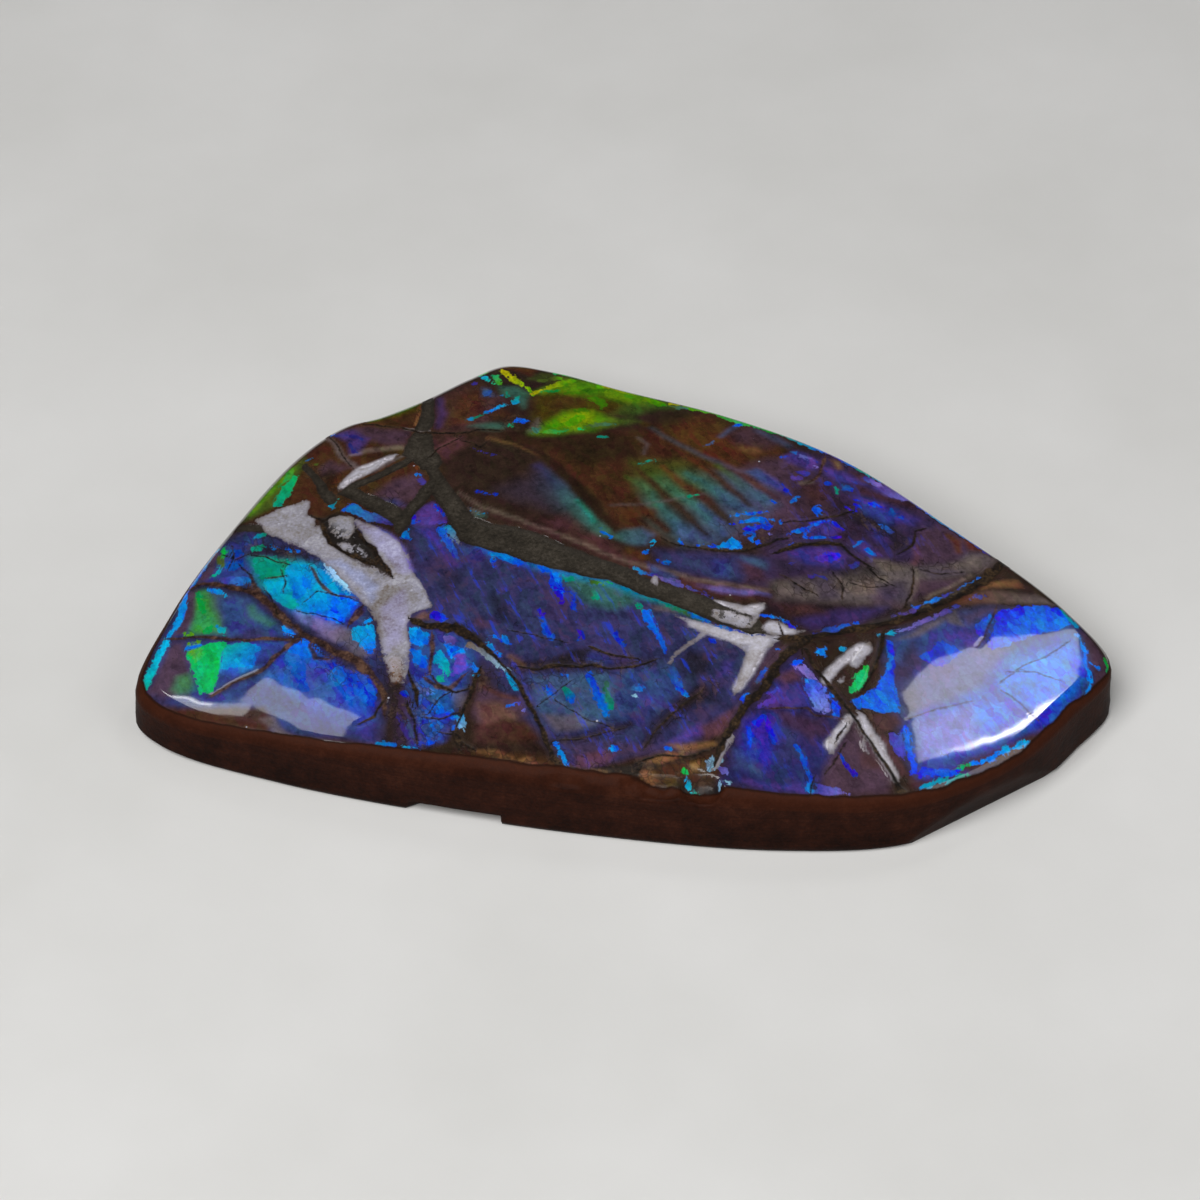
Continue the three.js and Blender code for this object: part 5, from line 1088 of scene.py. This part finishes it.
# Layers of colour and stone over the plan, one array each. Edges wander by noise before they are measured
def shellLayers(x, y):
    (wide, wideCell), (small, smallCell) = wander
    wx = x + wide * fractalNoise(x, y, wideCell) + small * fractalNoise(x + 80, y, smallCell)
    wy = y + wide * fractalNoise(x, y + 50, wideCell) + small * fractalNoise(x, y + 90, smallCell)
    layers = {name + "Gap": nearestGap(wx, wy, veins[name]) for name in ("matrix", "calcite")}
    for name in ("seam", "crack"):
        gap, side, half = nearestLine(wx, wy, veins[name])
        layers.update({name + "Gap": gap, name + "Side": side, name + "Half": half})

    paint = shapeColour("bark", np.zeros(x.shape))
    for names, amount, blur, points in washes:
        gap, along = shapeGap(wx, wy, points)
        cover = amount * (1 - ease(-blur, blur, gap))
        paint += (shapeColour(names, along) - paint) * cover[..., None]

    flashGap, flashPaint = np.full(x.shape, 3.0), np.zeros(x.shape + (3,))
    for names, light, points in plates:
        gap, along = shapeGap(wx, wy, points, 3)
        wins = (gap < 0) | (gap < flashGap)
        flashPaint = np.where(wins[..., None], shapeColour(names, along) * light ** 1.4, flashPaint)
        flashGap = np.minimum(gap, flashGap)
    layers.update(paint=paint, flashGap=flashGap, flashPaint=flashPaint)

    for name, zones in (("streak", streakZones), ("fracture", fractureZones)):
        amounts = [amount * zoneAmount(wx, wy, blur, points) for amount, blur, points in zones]
        layers[name] = np.max(amounts, axis=0)
    layers["rough"] = np.max([zoneAmount(wx, wy, 1, spot["route"]) for spot in (crumble, pocket)], axis=0)
    return layers


# Height of the top: the crown, less a quarter-round drop at the rim, plus the raised plate and film, less a
# flat-floored trough along each vein, crumbled places and chips, plus a faint waviness of the polish
def topHeight(x, y, share, layers):
    t = np.clip((share - slab["round"]["start"]) / (1 - slab["round"]["start"]), 0, 1)
    z = crownHeight(x, y) - slab["round"]["drop"] * (1 - np.sqrt(1 - t * t))
    inner = 1 - ease(0.975, 1, share)

    plateIn = 1 - ease(-raised["slope"], raised["slope"], shapeGap(x, y, raised["outline"])[0])
    plateFade = 1 - ease(*raised["fade"], streakGap(x, y, raised["edge"])[0])
    z += raised["rise"] * plateIn * plateFade * inner
    filmGap = streakGap(x, y, film["edge"])[0]
    filmLine = np.interp(x, [p[0] for p in film["edge"]], [p[1] for p in film["edge"]])
    above = ease(-film["slope"], film["slope"], y - filmLine)
    within = ease(*film["from"], x) * (1 - ease(*film["to"], x))
    z += film["rise"] * above * within * (1 - ease(0, film["fade"], filmGap)) * (1 - plateIn)

    for name, (depth, start, full) in troughs.items():
        z -= depth * (1 - ease(full, start, layers[name + "Gap"])) * inner
    for spot in (crumble, pocket):
        rough = 0.5 + 0.5 * fractalNoise(x, y, spot["cell"])
        z -= spot["depth"] * rough * zoneAmount(x, y, 0.6, spot["route"])
    for chip in chips:
        (cx, cy, cz), (sx, sy, sz) = chip["at"], chip["size"]
        left = 1 - ((x - cx) / sx) ** 2 - ((y - cy) / sy) ** 2
        bite = cz - sz * np.sqrt(np.maximum(left, 0)) + chipGrain[0] * fractalNoise(x, y, chipGrain[1])
        z = np.where(left > 0, np.minimum(z, np.maximum(bite, cz - sz)), z)
    for height, cell in waves:
        z += height * fractalNoise(x, y, cell) * inner
    return np.minimum(z, slab["crown"]["top"])


# One side's wall, from just under the rim to the base: each row is the rim moved out from the centre by a
# share that grows down the wall, then in again at the bevelled base edge. Grain, the broken step and the
# chips push it in, and the ground facet cuts it back to a leaning plane
def wallRows(rimX, rimY, rimZ, nearSide):
    wall, (cx, cy) = slab["wall"], slab["centre"]
    t = np.array(wall["steps"])
    share = np.append(1 + (wall["flare"] - 1) * t, wall["baseShare"])
    x = cx + (rimX[:, None] - cx) * share
    y = cy + (rimY[:, None] - cy) * share
    z = np.append(rimZ[:, None] * (1 - t) + wall["bevel"] * t, np.zeros((len(rimX), 1)), axis=1)

    grainDepth, grainCell = wall["grain"]
    depth = grainDepth * fractalNoise(x * 0.6 + y, z * 2.2, grainCell) * ease(0, 1, z)
    if nearSide:
        step = ease(*bottomStep["from"], x) * (1 - ease(*bottomStep["to"], x))
        depth += step * (1 - ease(*bottomStep["height"], z)) * bottomStep["depth"]
        for chip in chips:
            (hx, hy, hz), (sx, sy, sz) = chip["at"], chip["size"]
            left = 1 - ((x - hx) / sx) ** 2 - ((z - hz) / sz) ** 2
            depth = np.maximum(depth, np.where(left > 0, hy + sy * np.sqrt(np.maximum(left, 0)) - y, 0))
    away = np.hypot(x - cx, y - cy)
    x, y = x - (x - cx) / away * depth, y - (y - cy) / away * depth

    (fx, fy), turn, lean = groundFacet["at"], groundFacet["turn"], groundFacet["lean"]
    out = np.maximum((x - fx) * sin(turn) - (y - fy) * cos(turn) - tan(lean) * z, 0)
    out *= x > groundFacet["after"]
    return x - out * sin(turn), y + out * cos(turn), z


# The slab is one closed section carried along its length. At each place along X the section runs up the near
# wall, over the top from the near rim to the far rim, down the far wall and back under the base
def buildSlab():
    rim = closedCurve(slab["rim"], 80)
    left, right = np.argmin(rim[:, 0]), np.argmax(rim[:, 0])
    rim, right = np.roll(rim, -left, axis=0), (right - left) % len(rim)
    nearRim, farRim = rim[:right + 1], np.vstack([rim[right:], rim[:1]])[::-1]

    w = np.linspace(0, 1, slab["columns"])
    w = w - slab["columnCrowding"] * np.sin(2 * pi * w) / (2 * pi)
    x = rim[0, 0] + (rim[right, 0] - rim[0, 0]) * w
    nearY = np.interp(x, nearRim[:, 0], nearRim[:, 1])
    farY = np.interp(x, farRim[:, 0], farRim[:, 1])
    v = np.linspace(0, 1, slab["topRows"])
    v = v - slab["rowCrowding"] * np.sin(2 * pi * v) / (2 * pi)
    topX = np.repeat(x[:, None], len(v), axis=1)
    topY = nearY[:, None] + (farY - nearY)[:, None] * v

    cx, cy = slab["centre"]
    angles = np.arctan2(rim[:, 1] - cy, rim[:, 0] - cx)
    order = np.argsort(angles)
    bearing = np.arctan2(topY - cy, topX - cx)
    rimAway = np.hypot(rim[:, 0] - cx, rim[:, 1] - cy)
    reach = np.interp(bearing, angles[order], rimAway[order], period=2 * pi)
    share = np.minimum(np.hypot(topX - cx, topY - cy) / reach, 1)
    share[:, [0, -1]] = 1
    share[[0, -1], :] = 1
    stations = [(atan2(py - cy, px - cx), inset) for px, py, inset in shellInset]
    inset = np.interp(bearing, *np.array(sorted(stations)).T, period=2 * pi)

    layers = shellLayers(topX, topY)
    topZ = topHeight(topX, topY, share, layers)
    stray = insetStray[0] * fractalNoise(topX, topY, insetStray[1]) * ease(0.3, 1, inset)
    layers["shellGap"] = inset + stray - (1 - share) * reach
    print("top surface worked out")

    nearWall = [a[:, ::-1] for a in wallRows(x, nearY, topZ[:, 0], True)]
    farWall = wallRows(x, farY, topZ[:, -1], False)
    b = np.linspace(1, 0, slab["baseRows"] + 2)[1:-1]
    base = [nearWall[k][:, :1] + (farWall[k][:, -1:] - nearWall[k][:, :1]) * b for k in range(3)]
    grid = [np.hstack([nearWall[k], (topX, topY, topZ)[k], farWall[k], base[k]]) for k in range(3)]
    grid = np.stack(grid, axis=-1)
    columns, around = grid.shape[:2]

    index = np.arange(columns * around).reshape(columns, around)
    turned = np.roll(index, -1, axis=1)
    quads = np.stack([index[:-1], index[1:], turned[1:], turned[:-1]], axis=-1).reshape(-1, 4)
    first, last = len(nearWall[0][0]), len(nearWall[0][0]) + len(v)
    mesh = bpy.data.meshes.new("ammolite")
    mesh.from_pydata(grid.reshape(-1, 3) * mm, [], quads.tolist())
    bare = {"shellGap": 4, "matrixGap": 6, "calciteGap": 6, "seamGap": 6, "seamSide": 6, "crackGap": 6,
            "crackSide": 6, "flashGap": 6}     # values on the wall and base, where there is no shell
    for name, values in layers.items():
        whole = np.full((columns, around) + values.shape[2:], float(bare.get(name, 0)))
        whole[:, first:last] = values
        kind, field = ("FLOAT", "value") if values.ndim == 2 else ("FLOAT_VECTOR", "vector")
        attribute = mesh.attributes.new(name, kind, "POINT")
        attribute.data.foreach_set(field, whole.ravel().astype(np.float32))

    work = bmesh.new()                    # closes the two ends, where the section has no width
    work.from_mesh(mesh)
    bmesh.ops.remove_doubles(work, verts=work.verts, dist=1e-7)
    bmesh.ops.recalc_face_normals(work, faces=work.faces)
    work.to_mesh(mesh)
    volume = work.calc_volume(signed=True)
    work.free()
    mesh.shade_smooth()
    piece = bpy.data.objects.new("ammolite_slab_polished", mesh)
    bpy.context.scene.collection.objects.link(piece)
    print("slab made:", len(mesh.vertices), "points, volume", round(volume * 1e6, 1), "cubic cm")
    return piece


# One output socket. Arithmetic on it adds Math nodes, and node adds any other kind
class Wire:
    def __init__(self, tree, socket=None):
        self.tree, self.socket = tree, socket

    def node(self, kind, settings=None, inputs=None, output=0):
        made = self.tree.nodes.new(kind)
        for name, value in (settings or {}).items():
            if name == "stops":
                ramp = made.color_ramp
                while len(ramp.elements) < len(value):
                    ramp.elements.new(1)
                for element, (place, colour) in zip(ramp.elements, value):
                    element.position, element.color = place, colour
            else:
                setattr(made, name, value)
        for key, value in (inputs or {}).items():
            if isinstance(value, Wire):
                self.tree.links.new(value.socket, made.inputs[key])
            else:
                made.inputs[key].default_value = value
        return Wire(self.tree, made.outputs[output])

    def math(self, operation, a, b):
        return self.node("ShaderNodeMath", {"operation": operation}, {0: a, 1: b})

    def __add__(self, other):
        return self.math("ADD", self, other)

    __radd__ = __add__

    def __sub__(self, other):
        return self.math("SUBTRACT", self, other)

    def __rsub__(self, other):
        return self.math("SUBTRACT", other, self)

    def __mul__(self, other):
        return self.math("MULTIPLY", self, other)

    __rmul__ = __mul__

    def larger(self, other):
        return self.math("MAXIMUM", self, other)

    def size(self):
        return self.node("ShaderNodeMath", {"operation": "ABSOLUTE"}, {0: self})

    # s-curve from 0 at low to 1 at high
    def ease(self, low, high):
        return self.node("ShaderNodeMapRange", {"interpolation_type": "SMOOTHSTEP"},
                         {0: self, 1: low, 2: high, 3: 0, 4: 1})

    # one colour over another by this amount. A plain colour is given as a screen shows it
    def blend(self, under, over):
        over = over if isinstance(over, Wire) else screen(*over)
        return self.node("ShaderNodeMix", {"data_type": "RGBA"}, {0: self, 6: under, 7: over}, 2)

    def ramp(self, stops):
        stops = [(place, screen(*tone)) for place, tone in stops]
        return self.node("ShaderNodeValToRGB", {"stops": stops}, {0: self})

    # place turned about Z and multiplied, so that a pattern read there is turned and drawn out
    def scaled(self, across, along=None, turn=0):
        turned = self.node("ShaderNodeMapping", {}, {"Vector": self, "Rotation": (0, 0, turn)})
        factors = (across, across if along is None else along, across)
        return turned.node("ShaderNodeVectorMath", {"operation": "MULTIPLY"}, {0: turned, 1: factors})

    # place moved aside by noise
    def warped(self, frequency, amount):
        inputs = {"Vector": self.scaled(frequency), "Scale": 1, "Detail": 3}
        shift = self.node("ShaderNodeTexNoise", {}, inputs, "Color")
        inputs = {0: shift, 1: (amount, amount, amount), 2: self}
        return self.node("ShaderNodeVectorMath", {"operation": "MULTIPLY_ADD"}, inputs)

    def tinted(self, hue, light):
        inputs = {"Color": self, "Hue": hue + 0.5, "Value": light}
        return self.node("ShaderNodeHueSaturation", {}, inputs)

    def noise(self, detail=3, rough=0.55):
        inputs = {"Vector": self, "Scale": 1, "Detail": detail, "Roughness": rough}
        return self.node("ShaderNodeTexNoise", {}, inputs)

    # irregular cells: distance to the middle, distance to the edge, or two random values for each cell
    def voronoi(self, feature, output):
        return self.node("ShaderNodeTexVoronoi", {"feature": feature}, {"Vector": self, "Scale": 1}, output)

    def dots(self):
        return self.voronoi("F1", "Distance")

    def edges(self):
        return self.voronoi("DISTANCE_TO_EDGE", "Distance")

    def cells(self):
        colour = self.voronoi("F1", "Color")
        return [self.node("ShaderNodeSeparateColor", {}, {0: colour}, k) - 0.5 for k in (0, 1)]


# Roughness of each surface, the lie of the grain in degrees, and colours as a screen shows them: one, or the
# stops of a ramp
finish = {
    "shellRough": 0.24, "matrixRough": 0.5, "stoneRough": 0.5, "coatRough": 0.03, "grainTurn": -23,
    "cloud": (74, 50, 70), "streak": (22, 58, 204), "flakeLine": (26, 19, 18), "speck": (190, 190, 205),
    "dull": [(0.2, (26, 20, 17)), (0.5, (50, 37, 29)), (0.8, (84, 66, 50))],
    "seam": [(0.2, (30, 19, 15)), (0.5, (58, 38, 29)), (0.85, (100, 72, 55))],
    "matrix": [(0.15, (30, 27, 22)), (0.5, (50, 45, 38)), (0.85, (72, 66, 58))],
    # painted shade on the walls of the matrix trough
    "matrixEdgeShade": (28, 22, 18),
    # the calcite's pale tones are partly its own colour, partly a painted reflection of the softbox
    "calcite": [(0.1, (124, 113, 106)), (0.38, (158, 154, 156)), (0.64, (182, 180, 194)),
        (0.9, (220, 220, 228))],
    "calciteEdge": (100, 88, 86),
    "crack": [(0.25, (14, 10, 8)), (0.55, (36, 26, 18)), (0.85, (66, 50, 33))],
    # stone tones kept darker than the stone's own brown: painted shade
    "stone": [(0.1, (26, 12, 8)), (0.5, (46, 22, 14)), (0.9, (66, 35, 23))],
    "stoneBelowShell": (66, 32, 18), "stoneAtShell": (22, 13, 9),
}


# Finish of the slab. From below: stone, washes, streaks, bright flakes, then seams, veins and cracks
def ammoliteFinish():
    material = bpy.data.materials.new("ammolite")
    material.use_nodes = True
    tree = material.node_tree
    start = Wire(tree)
    place = start.node("ShaderNodeTexCoord", {}, {}, "Object").scaled(1 / mm)
    layer = {name: start.node("ShaderNodeAttribute", {"attribute_name": name}, {}, "Fac") for name in (
        "matrixGap", "calciteGap", "seamGap", "seamSide", "seamHalf", "crackGap", "crackSide", "crackHalf",
        "flashGap", "streak", "fracture", "rough", "shellGap")}
    paint, flashPaint = (start.node("ShaderNodeAttribute", {"attribute_name": name}, {}, "Color")
                         for name in ("paint", "flashPaint"))
    turn = radians(finish["grainTurn"])
    broad = place.scaled(0.16).noise(3) - 0.5
    patchy = place.scaled(0.55).noise(3) - 0.5
    grain = place.scaled(2.2).noise(4, 0.55) - 0.5
    fine = place.scaled(7).noise(3, 0.6) - 0.5
    steep = place.scaled(1.2, 0.12, turn).noise(4, 0.6) - 0.5
    ragged = patchy * 0.35 + grain * 0.45

    # the shell is a mosaic of plates, flakes and chips, each with its own random brightness and hue: partly
    # their own tone, partly painted sheen standing in for each flake tilted its own way to the light
    flakes = place.warped(0.8, 1.0).scaled(0.9, 0.42, turn)
    plateLight, plateHue = place.warped(0.35, 2.4).scaled(0.2).cells()
    flakeLight, flakeHue = flakes.cells()
    chipLight, chipHue = place.warped(2, 0.35).scaled(2.0, 1.3, turn).cells()
    mosaicToneAndSheen = plateLight * 0.35 + flakeLight * 0.5 + chipLight * 0.35
    huePlay = plateHue * 0.35 + flakeHue * 0.5 + chipHue * 0.25 + broad * 0.6

    streakLight = steep * (0.3 + layer["streak"] * 0.7)
    # painted sheen: the mosaic brightens and darkens the shell cell by cell, with the streaks and random
    # tone
    shell = paint.tinted(huePlay * 0.07, 0.94 + mosaicToneAndSheen * 0.6 + patchy * 1.2 + grain * 0.45 + streakLight)
    cloud = (broad * 1.2 + patchy * 1.3 + flakeLight * 0.2).ease(0.02, 0.3) * layer["streak"]
    shell = (cloud * 0.55).blend(shell, finish["cloud"])
    streakMask = (steep + flakeLight * 0.12 + patchy * 0.25).ease(0.06, 0.22) * layer["streak"]
    shell = (streakMask * (0.6 + mosaicToneAndSheen * 0.4)).blend(shell, finish["streak"])

    flashMask = (layer["flashGap"] + ragged * 1.2 + flakeLight * 0.25 + chipLight * 0.4).ease(0.12, -0.12)
    # the bright flakes are also brightened cell by cell by the mosaic: partly painted sheen
    flash = flashPaint.tinted(huePlay * 0.06, 1 + mosaicToneAndSheen * 0.55 + steep * 0.8 + patchy * 0.5 + grain * 0.5)
    shell = (flashMask * (0.95 + grain * 0.5)).blend(shell, flash)

    broken = layer["fracture"]
    flakeLine = flakes.edges().ease(0.06, 0.015) * (patchy + broken * 0.45 + chipLight * 0.2).ease(0.1, 0.26)
    dull = (flakeLight + chipLight * 0.5 + broken * 0.25).ease(0.36, 0.5) * (broken * 0.65)
    shell = dull.blend(shell, (0.5 + patchy * 1.5 + grain).ramp(finish["dull"]))
    shell = (flakeLine * 0.5).blend(shell, finish["flakeLine"])

    seamGap = layer["seamSide"].size() - layer["seamHalf"] * (0.7 + patchy * 1.8) + ragged * 0.7
    seam = seamGap.ease(0.2, -0.2) * layer["seamGap"].ease(0.7, 0.3)
    seamColour = (0.5 + patchy * 1.4 + grain * 0.6 + flakeLight * 0.2).ramp(finish["seam"])
    shell = (seam * 0.92).blend(shell, seamColour)

    matrixGap = layer["matrixGap"] + ragged * 0.7
    matrix = matrixGap.ease(0.15, -0.15)
    matrixColour = (0.5 + broad * 0.6 + patchy * 0.7 + grain * 0.8 + fine * 0.6).ramp(finish["matrix"])
    shell = matrix.blend(shell, matrixColour)
    # painted shade: the matrix band is darkened just inside its edges, on the walls of its trough
    shell = (matrixGap.ease(-0.8, 0) * matrix * 0.5).blend(shell, finish["matrixEdgeShade"])

    calciteGap = layer["calciteGap"] + ragged * 1.2 + flakeLight * 0.25
    calcite = calciteGap.ease(0.14, -0.16) * (1 - broken * (grain + chipLight * 0.4).ease(0.08, 0.16))
    calcite = calcite * (1 - layer["rough"] * (grain + patchy + chipLight * 0.4).ease(0, 0.1))
    # pale calcite in the veins: partly the vein's own colour, partly a painted reflection of the softbox
    calciteAndReflectionTone = 0.5 + broad * 0.9 + patchy * 0.9 + grain * 0.8 + fine * 0.3 + plateLight * 0.25
    calciteAndReflectionColour = calciteAndReflectionTone.ramp(finish["calcite"])
    calciteAndReflectionColour = (calciteGap.ease(-0.6, 0.05) * 0.6).blend(calciteAndReflectionColour, finish["calciteEdge"])
    calciteAndReflectionColour = (0.3 + patchy * 0.5).blend(calciteAndReflectionColour, paint)
    shell = calcite.blend(shell, calciteAndReflectionColour)

    crackGap = layer["crackSide"].size() - layer["crackHalf"] * (0.75 + patchy * 2.6) + ragged * 0.9
    crack = crackGap.ease(0.16, -0.16) * layer["crackGap"].ease(0.6, 0.25)
    crackColour = (0.5 + patchy * 1.3 + grain).ramp(finish["crack"])
    shell = crack.blend(shell, crackColour)

    speck = place.scaled(0.15).dots().ease(0.03, 0.015)
    shell = (speck * 0.7).blend(shell, finish["speck"])

    onShell = (layer["shellGap"] + ragged * 0.5).ease(0.14, -0.14)
    level = place.node("ShaderNodeSeparateXYZ", {}, {0: place}, 2)
    sawn = place.node("ShaderNodeCombineXYZ", {}, {0: broad * 0.8, 1: 0, 2: level * 2.2}).noise(2) - 0.5
    # the stone's brown is kept darker than its own colour, to the shaded look of the wall: painted shade. It
    # also grows darker towards the base
    stoneShadedTone = 0.26 + level * 0.025 + broad * 0.9 + patchy * 0.6 + grain * 0.5 + fine * 0.3 + sawn * 0.5
    stone = stoneShadedTone.ramp(finish["stone"])
    stone = (layer["shellGap"].ease(2.4, 0.3) * 0.6).blend(stone, finish["stoneBelowShell"])
    stone = (layer["shellGap"].ease(0.5, 0.1) * 0.7).blend(stone, finish["stoneAtShell"])

    stony = matrix.larger(crack)
    matt = stony.larger(layer["crackGap"].ease(0.5, 0.25)).larger(layer["rough"])
    shellRough = finish["shellRough"] + matt * (finish["matrixRough"] - finish["shellRough"]) + grain * 0.06
    shellRelief = (fine * 0.02 + grain * 0.05) * stony - crack * 0.05
    stoneRelief = grain * 0.05 + fine * 0.025 + patchy * 0.05
    shellCoat = 1 - matt * 0.95 - seam * (0.6 - matt * 0.6)
    stoneRough = finish["stoneRough"] + grain * 0.2
    polish = {"Base Color": shell, "Roughness": shellRough, "Specular IOR Level": 0.2,
              "Coat Weight": shellCoat, "Coat IOR": 1.5, "Coat Roughness": finish["coatRough"]}
    sawnFace = {"Base Color": stone, "Roughness": stoneRough, "Specular IOR Level": 0.04}
    shaders = []
    for inputs, relief in ((polish, shellRelief), (sawnFace, stoneRelief)):
        bump = relief.node("ShaderNodeBump", {}, {"Strength": 1, "Distance": mm, "Height": relief})
        shaders.append(start.node("ShaderNodeBsdfPrincipled", {}, {**inputs, "IOR": 1.45, "Normal": bump}))
    both = start.node("ShaderNodeMixShader", {}, {0: onShell, 1: shaders[1], 2: shaders[0]})
    tree.nodes.remove(next(n for n in tree.nodes if n.name == "Principled BSDF"))
    tree.links.new(both.socket, next(n for n in tree.nodes if n.type == "OUTPUT_MATERIAL").inputs["Surface"])
    print("finish made")
    return material


floorTones = {"scale": 18, "stops": [(0.3, (212, 211, 208)), (0.7, (222, 221, 219))], "rough": 0.75}


# Pale floor with a faint mottle
def floorFinish():
    material = bpy.data.materials.new("pale_floor")
    material.use_nodes = True
    tree = material.node_tree
    shader = next(n for n in tree.nodes if n.type == "BSDF_PRINCIPLED")
    place = Wire(tree).node("ShaderNodeTexCoord", {}, {}, "Object")
    tone = place.scaled(floorTones["scale"]).noise(4).ramp(floorTones["stops"])
    tree.links.new(tone.socket, shader.inputs["Base Color"])
    shader.inputs["Roughness"].default_value = floorTones["rough"]
    return material


# Camera and lights: aim point and distances in metres, angles in degrees
studio = {
    "aim": (-0.0034, 0.0044, 0), "elevation": 44, "distance": 0.51, "lens": 108.57, "sensor": 36,
    "clip": (0.02, 20), "floorHalf": 3,
    "softboxes": [
        {"at": (0.318, 0.478, 0.8), "turn": 48, "size": (0.4, 0.15), "power": 0.82, "trim": {
            "lower": (-0.068, -0.045, 1.7), "upper": (0.065, 0.045, -1.1), "end": (-0.13, 0.97),
            "soft": 0.003, "line": (-0.059, -0.05, 1.2), "lineHalf": 0.006, "lineGain": 7,
            "lineMiddle": -0.03, "lineFade": (0.13, 0.05)}},
        {"at": (-0.316, 0.45, 0.8), "turn": -47, "size": (0.16, 0.038), "power": 0.068},
        {"at": (-0.428, 0.505, 0.8), "turn": -31, "size": (0.13, 0.02), "power": 0.036},
        {"at": (-0.44, 0.518, 0.799), "turn": -31, "size": (0.085, 0.004), "power": 0.012}],
    "key": {"towards": (-0.3, -0.5, 0.82), "far": 1.0, "size": 0.7, "power": 10.5},
    "fill": {"towards": (0.7, -0.35, 0.62), "far": 1.0, "size": 0.6, "power": 2},
    "sky": (0.92, 0.95, 1, 1), "skyStrength": 0.03,
}


# Flat rectangular lamp, facing down until it is turned
def addLight(name, at, size, power):
    light = bpy.data.lights.new(name, "AREA")
    light.shape = "RECTANGLE"
    light.size, light.size_y = size
    light.energy = power
    lamp = bpy.data.objects.new(name, light)
    lamp.location = at
    bpy.context.scene.collection.objects.link(lamp)
    return lamp


# Softbox with a shaped front: lit between a lower and an upper bow, each a parabola of (height, middle,
# bend), and past a slanted end of (start, slant), with a brighter line along the lower bow. All of it is in
# metres from the middle of the box
def trimSoftbox(light, size, trim):
    light.use_nodes = True
    start = Wire(light.node_tree)
    face = start.node("ShaderNodeNewGeometry", {}, {}, "Parametric")
    shares = [start.node("ShaderNodeSeparateXYZ", {}, {0: face}, k) for k in (0, 1)]
    along, across = [(share - 0.5) * length for share, length in zip(shares, size)]
    bows = {}
    for name in ("lower", "upper", "line"):
        height, middle, bend = trim[name]
        bows[name] = height + (along - middle) * (along - middle) * bend
    endStart, slant = trim["end"]
    lit = (across - bows["lower"]).ease(0, trim["soft"]) * (bows["upper"] - across).ease(0, trim["soft"])
    lit = lit * (along - across * slant - endStart).ease(0, trim["soft"])
    line = (across - bows["line"]).size().ease(trim["lineHalf"], 0)
    line = line * (along - trim["lineMiddle"]).size().ease(*trim["lineFade"])
    strength = lit * (1 + line * trim["lineGain"])
    glow = next(n for n in light.node_tree.nodes if n.type == "EMISSION")
    light.node_tree.links.new(strength.socket, glow.inputs["Strength"])


# Floor, camera, lamps and a dim even sky
def buildStudio():
    scene = bpy.context.scene
    half = studio["floorHalf"]
    floorMesh = bpy.data.meshes.new("floor")
    corners = [(-half, -half, 0), (half, -half, 0), (half, half, 0), (-half, half, 0)]
    floorMesh.from_pydata(corners, [], [(0, 1, 2, 3)])
    floor = bpy.data.objects.new("floor", floorMesh)
    floorMesh.materials.append(floorFinish())
    scene.collection.objects.link(floor)

    up = radians(studio["elevation"])
    back = Vector((0, -cos(up), sin(up)))
    camera = bpy.data.objects.new("camera", bpy.data.cameras.new("camera"))
    camera.data.lens, camera.data.sensor_width = studio["lens"], studio["sensor"]
    camera.data.clip_start, camera.data.clip_end = studio["clip"]
    camera.location = Vector(studio["aim"]) + back * studio["distance"]
    camera.rotation_euler = back.to_track_quat("Z", "Y").to_euler()
    scene.collection.objects.link(camera)
    scene.camera = camera

    for k, box in enumerate(studio["softboxes"]):
        lamp = addLight("softbox" + str(k), box["at"], box["size"], box["power"])
        lamp.rotation_euler = (0, 0, radians(box["turn"]))
        if "trim" in box:
            trimSoftbox(lamp.data, box["size"], box["trim"])
    for name in ("key", "fill"):
        setting = studio[name]
        towards = Vector(setting["towards"]).normalized()
        size = (setting["size"], setting["size"])
        lamp = addLight(name, towards * setting["far"], size, setting["power"])
        lamp.rotation_euler = towards.to_track_quat("Z", "Y").to_euler()
    world = bpy.data.worlds.new("studio")
    world.use_nodes = True
    sky = world.node_tree.nodes["Background"]
    sky.inputs["Color"].default_value = studio["sky"]
    sky.inputs["Strength"].default_value = studio["skyStrength"]
    scene.world = world
    scene.view_settings.view_transform = "Standard"
    print("studio set")


buildStudio()
slabPiece = buildSlab()
slabPiece.data.materials.append(ammoliteFinish())
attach(slabPiece, "root")
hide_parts("ammolite_slab")
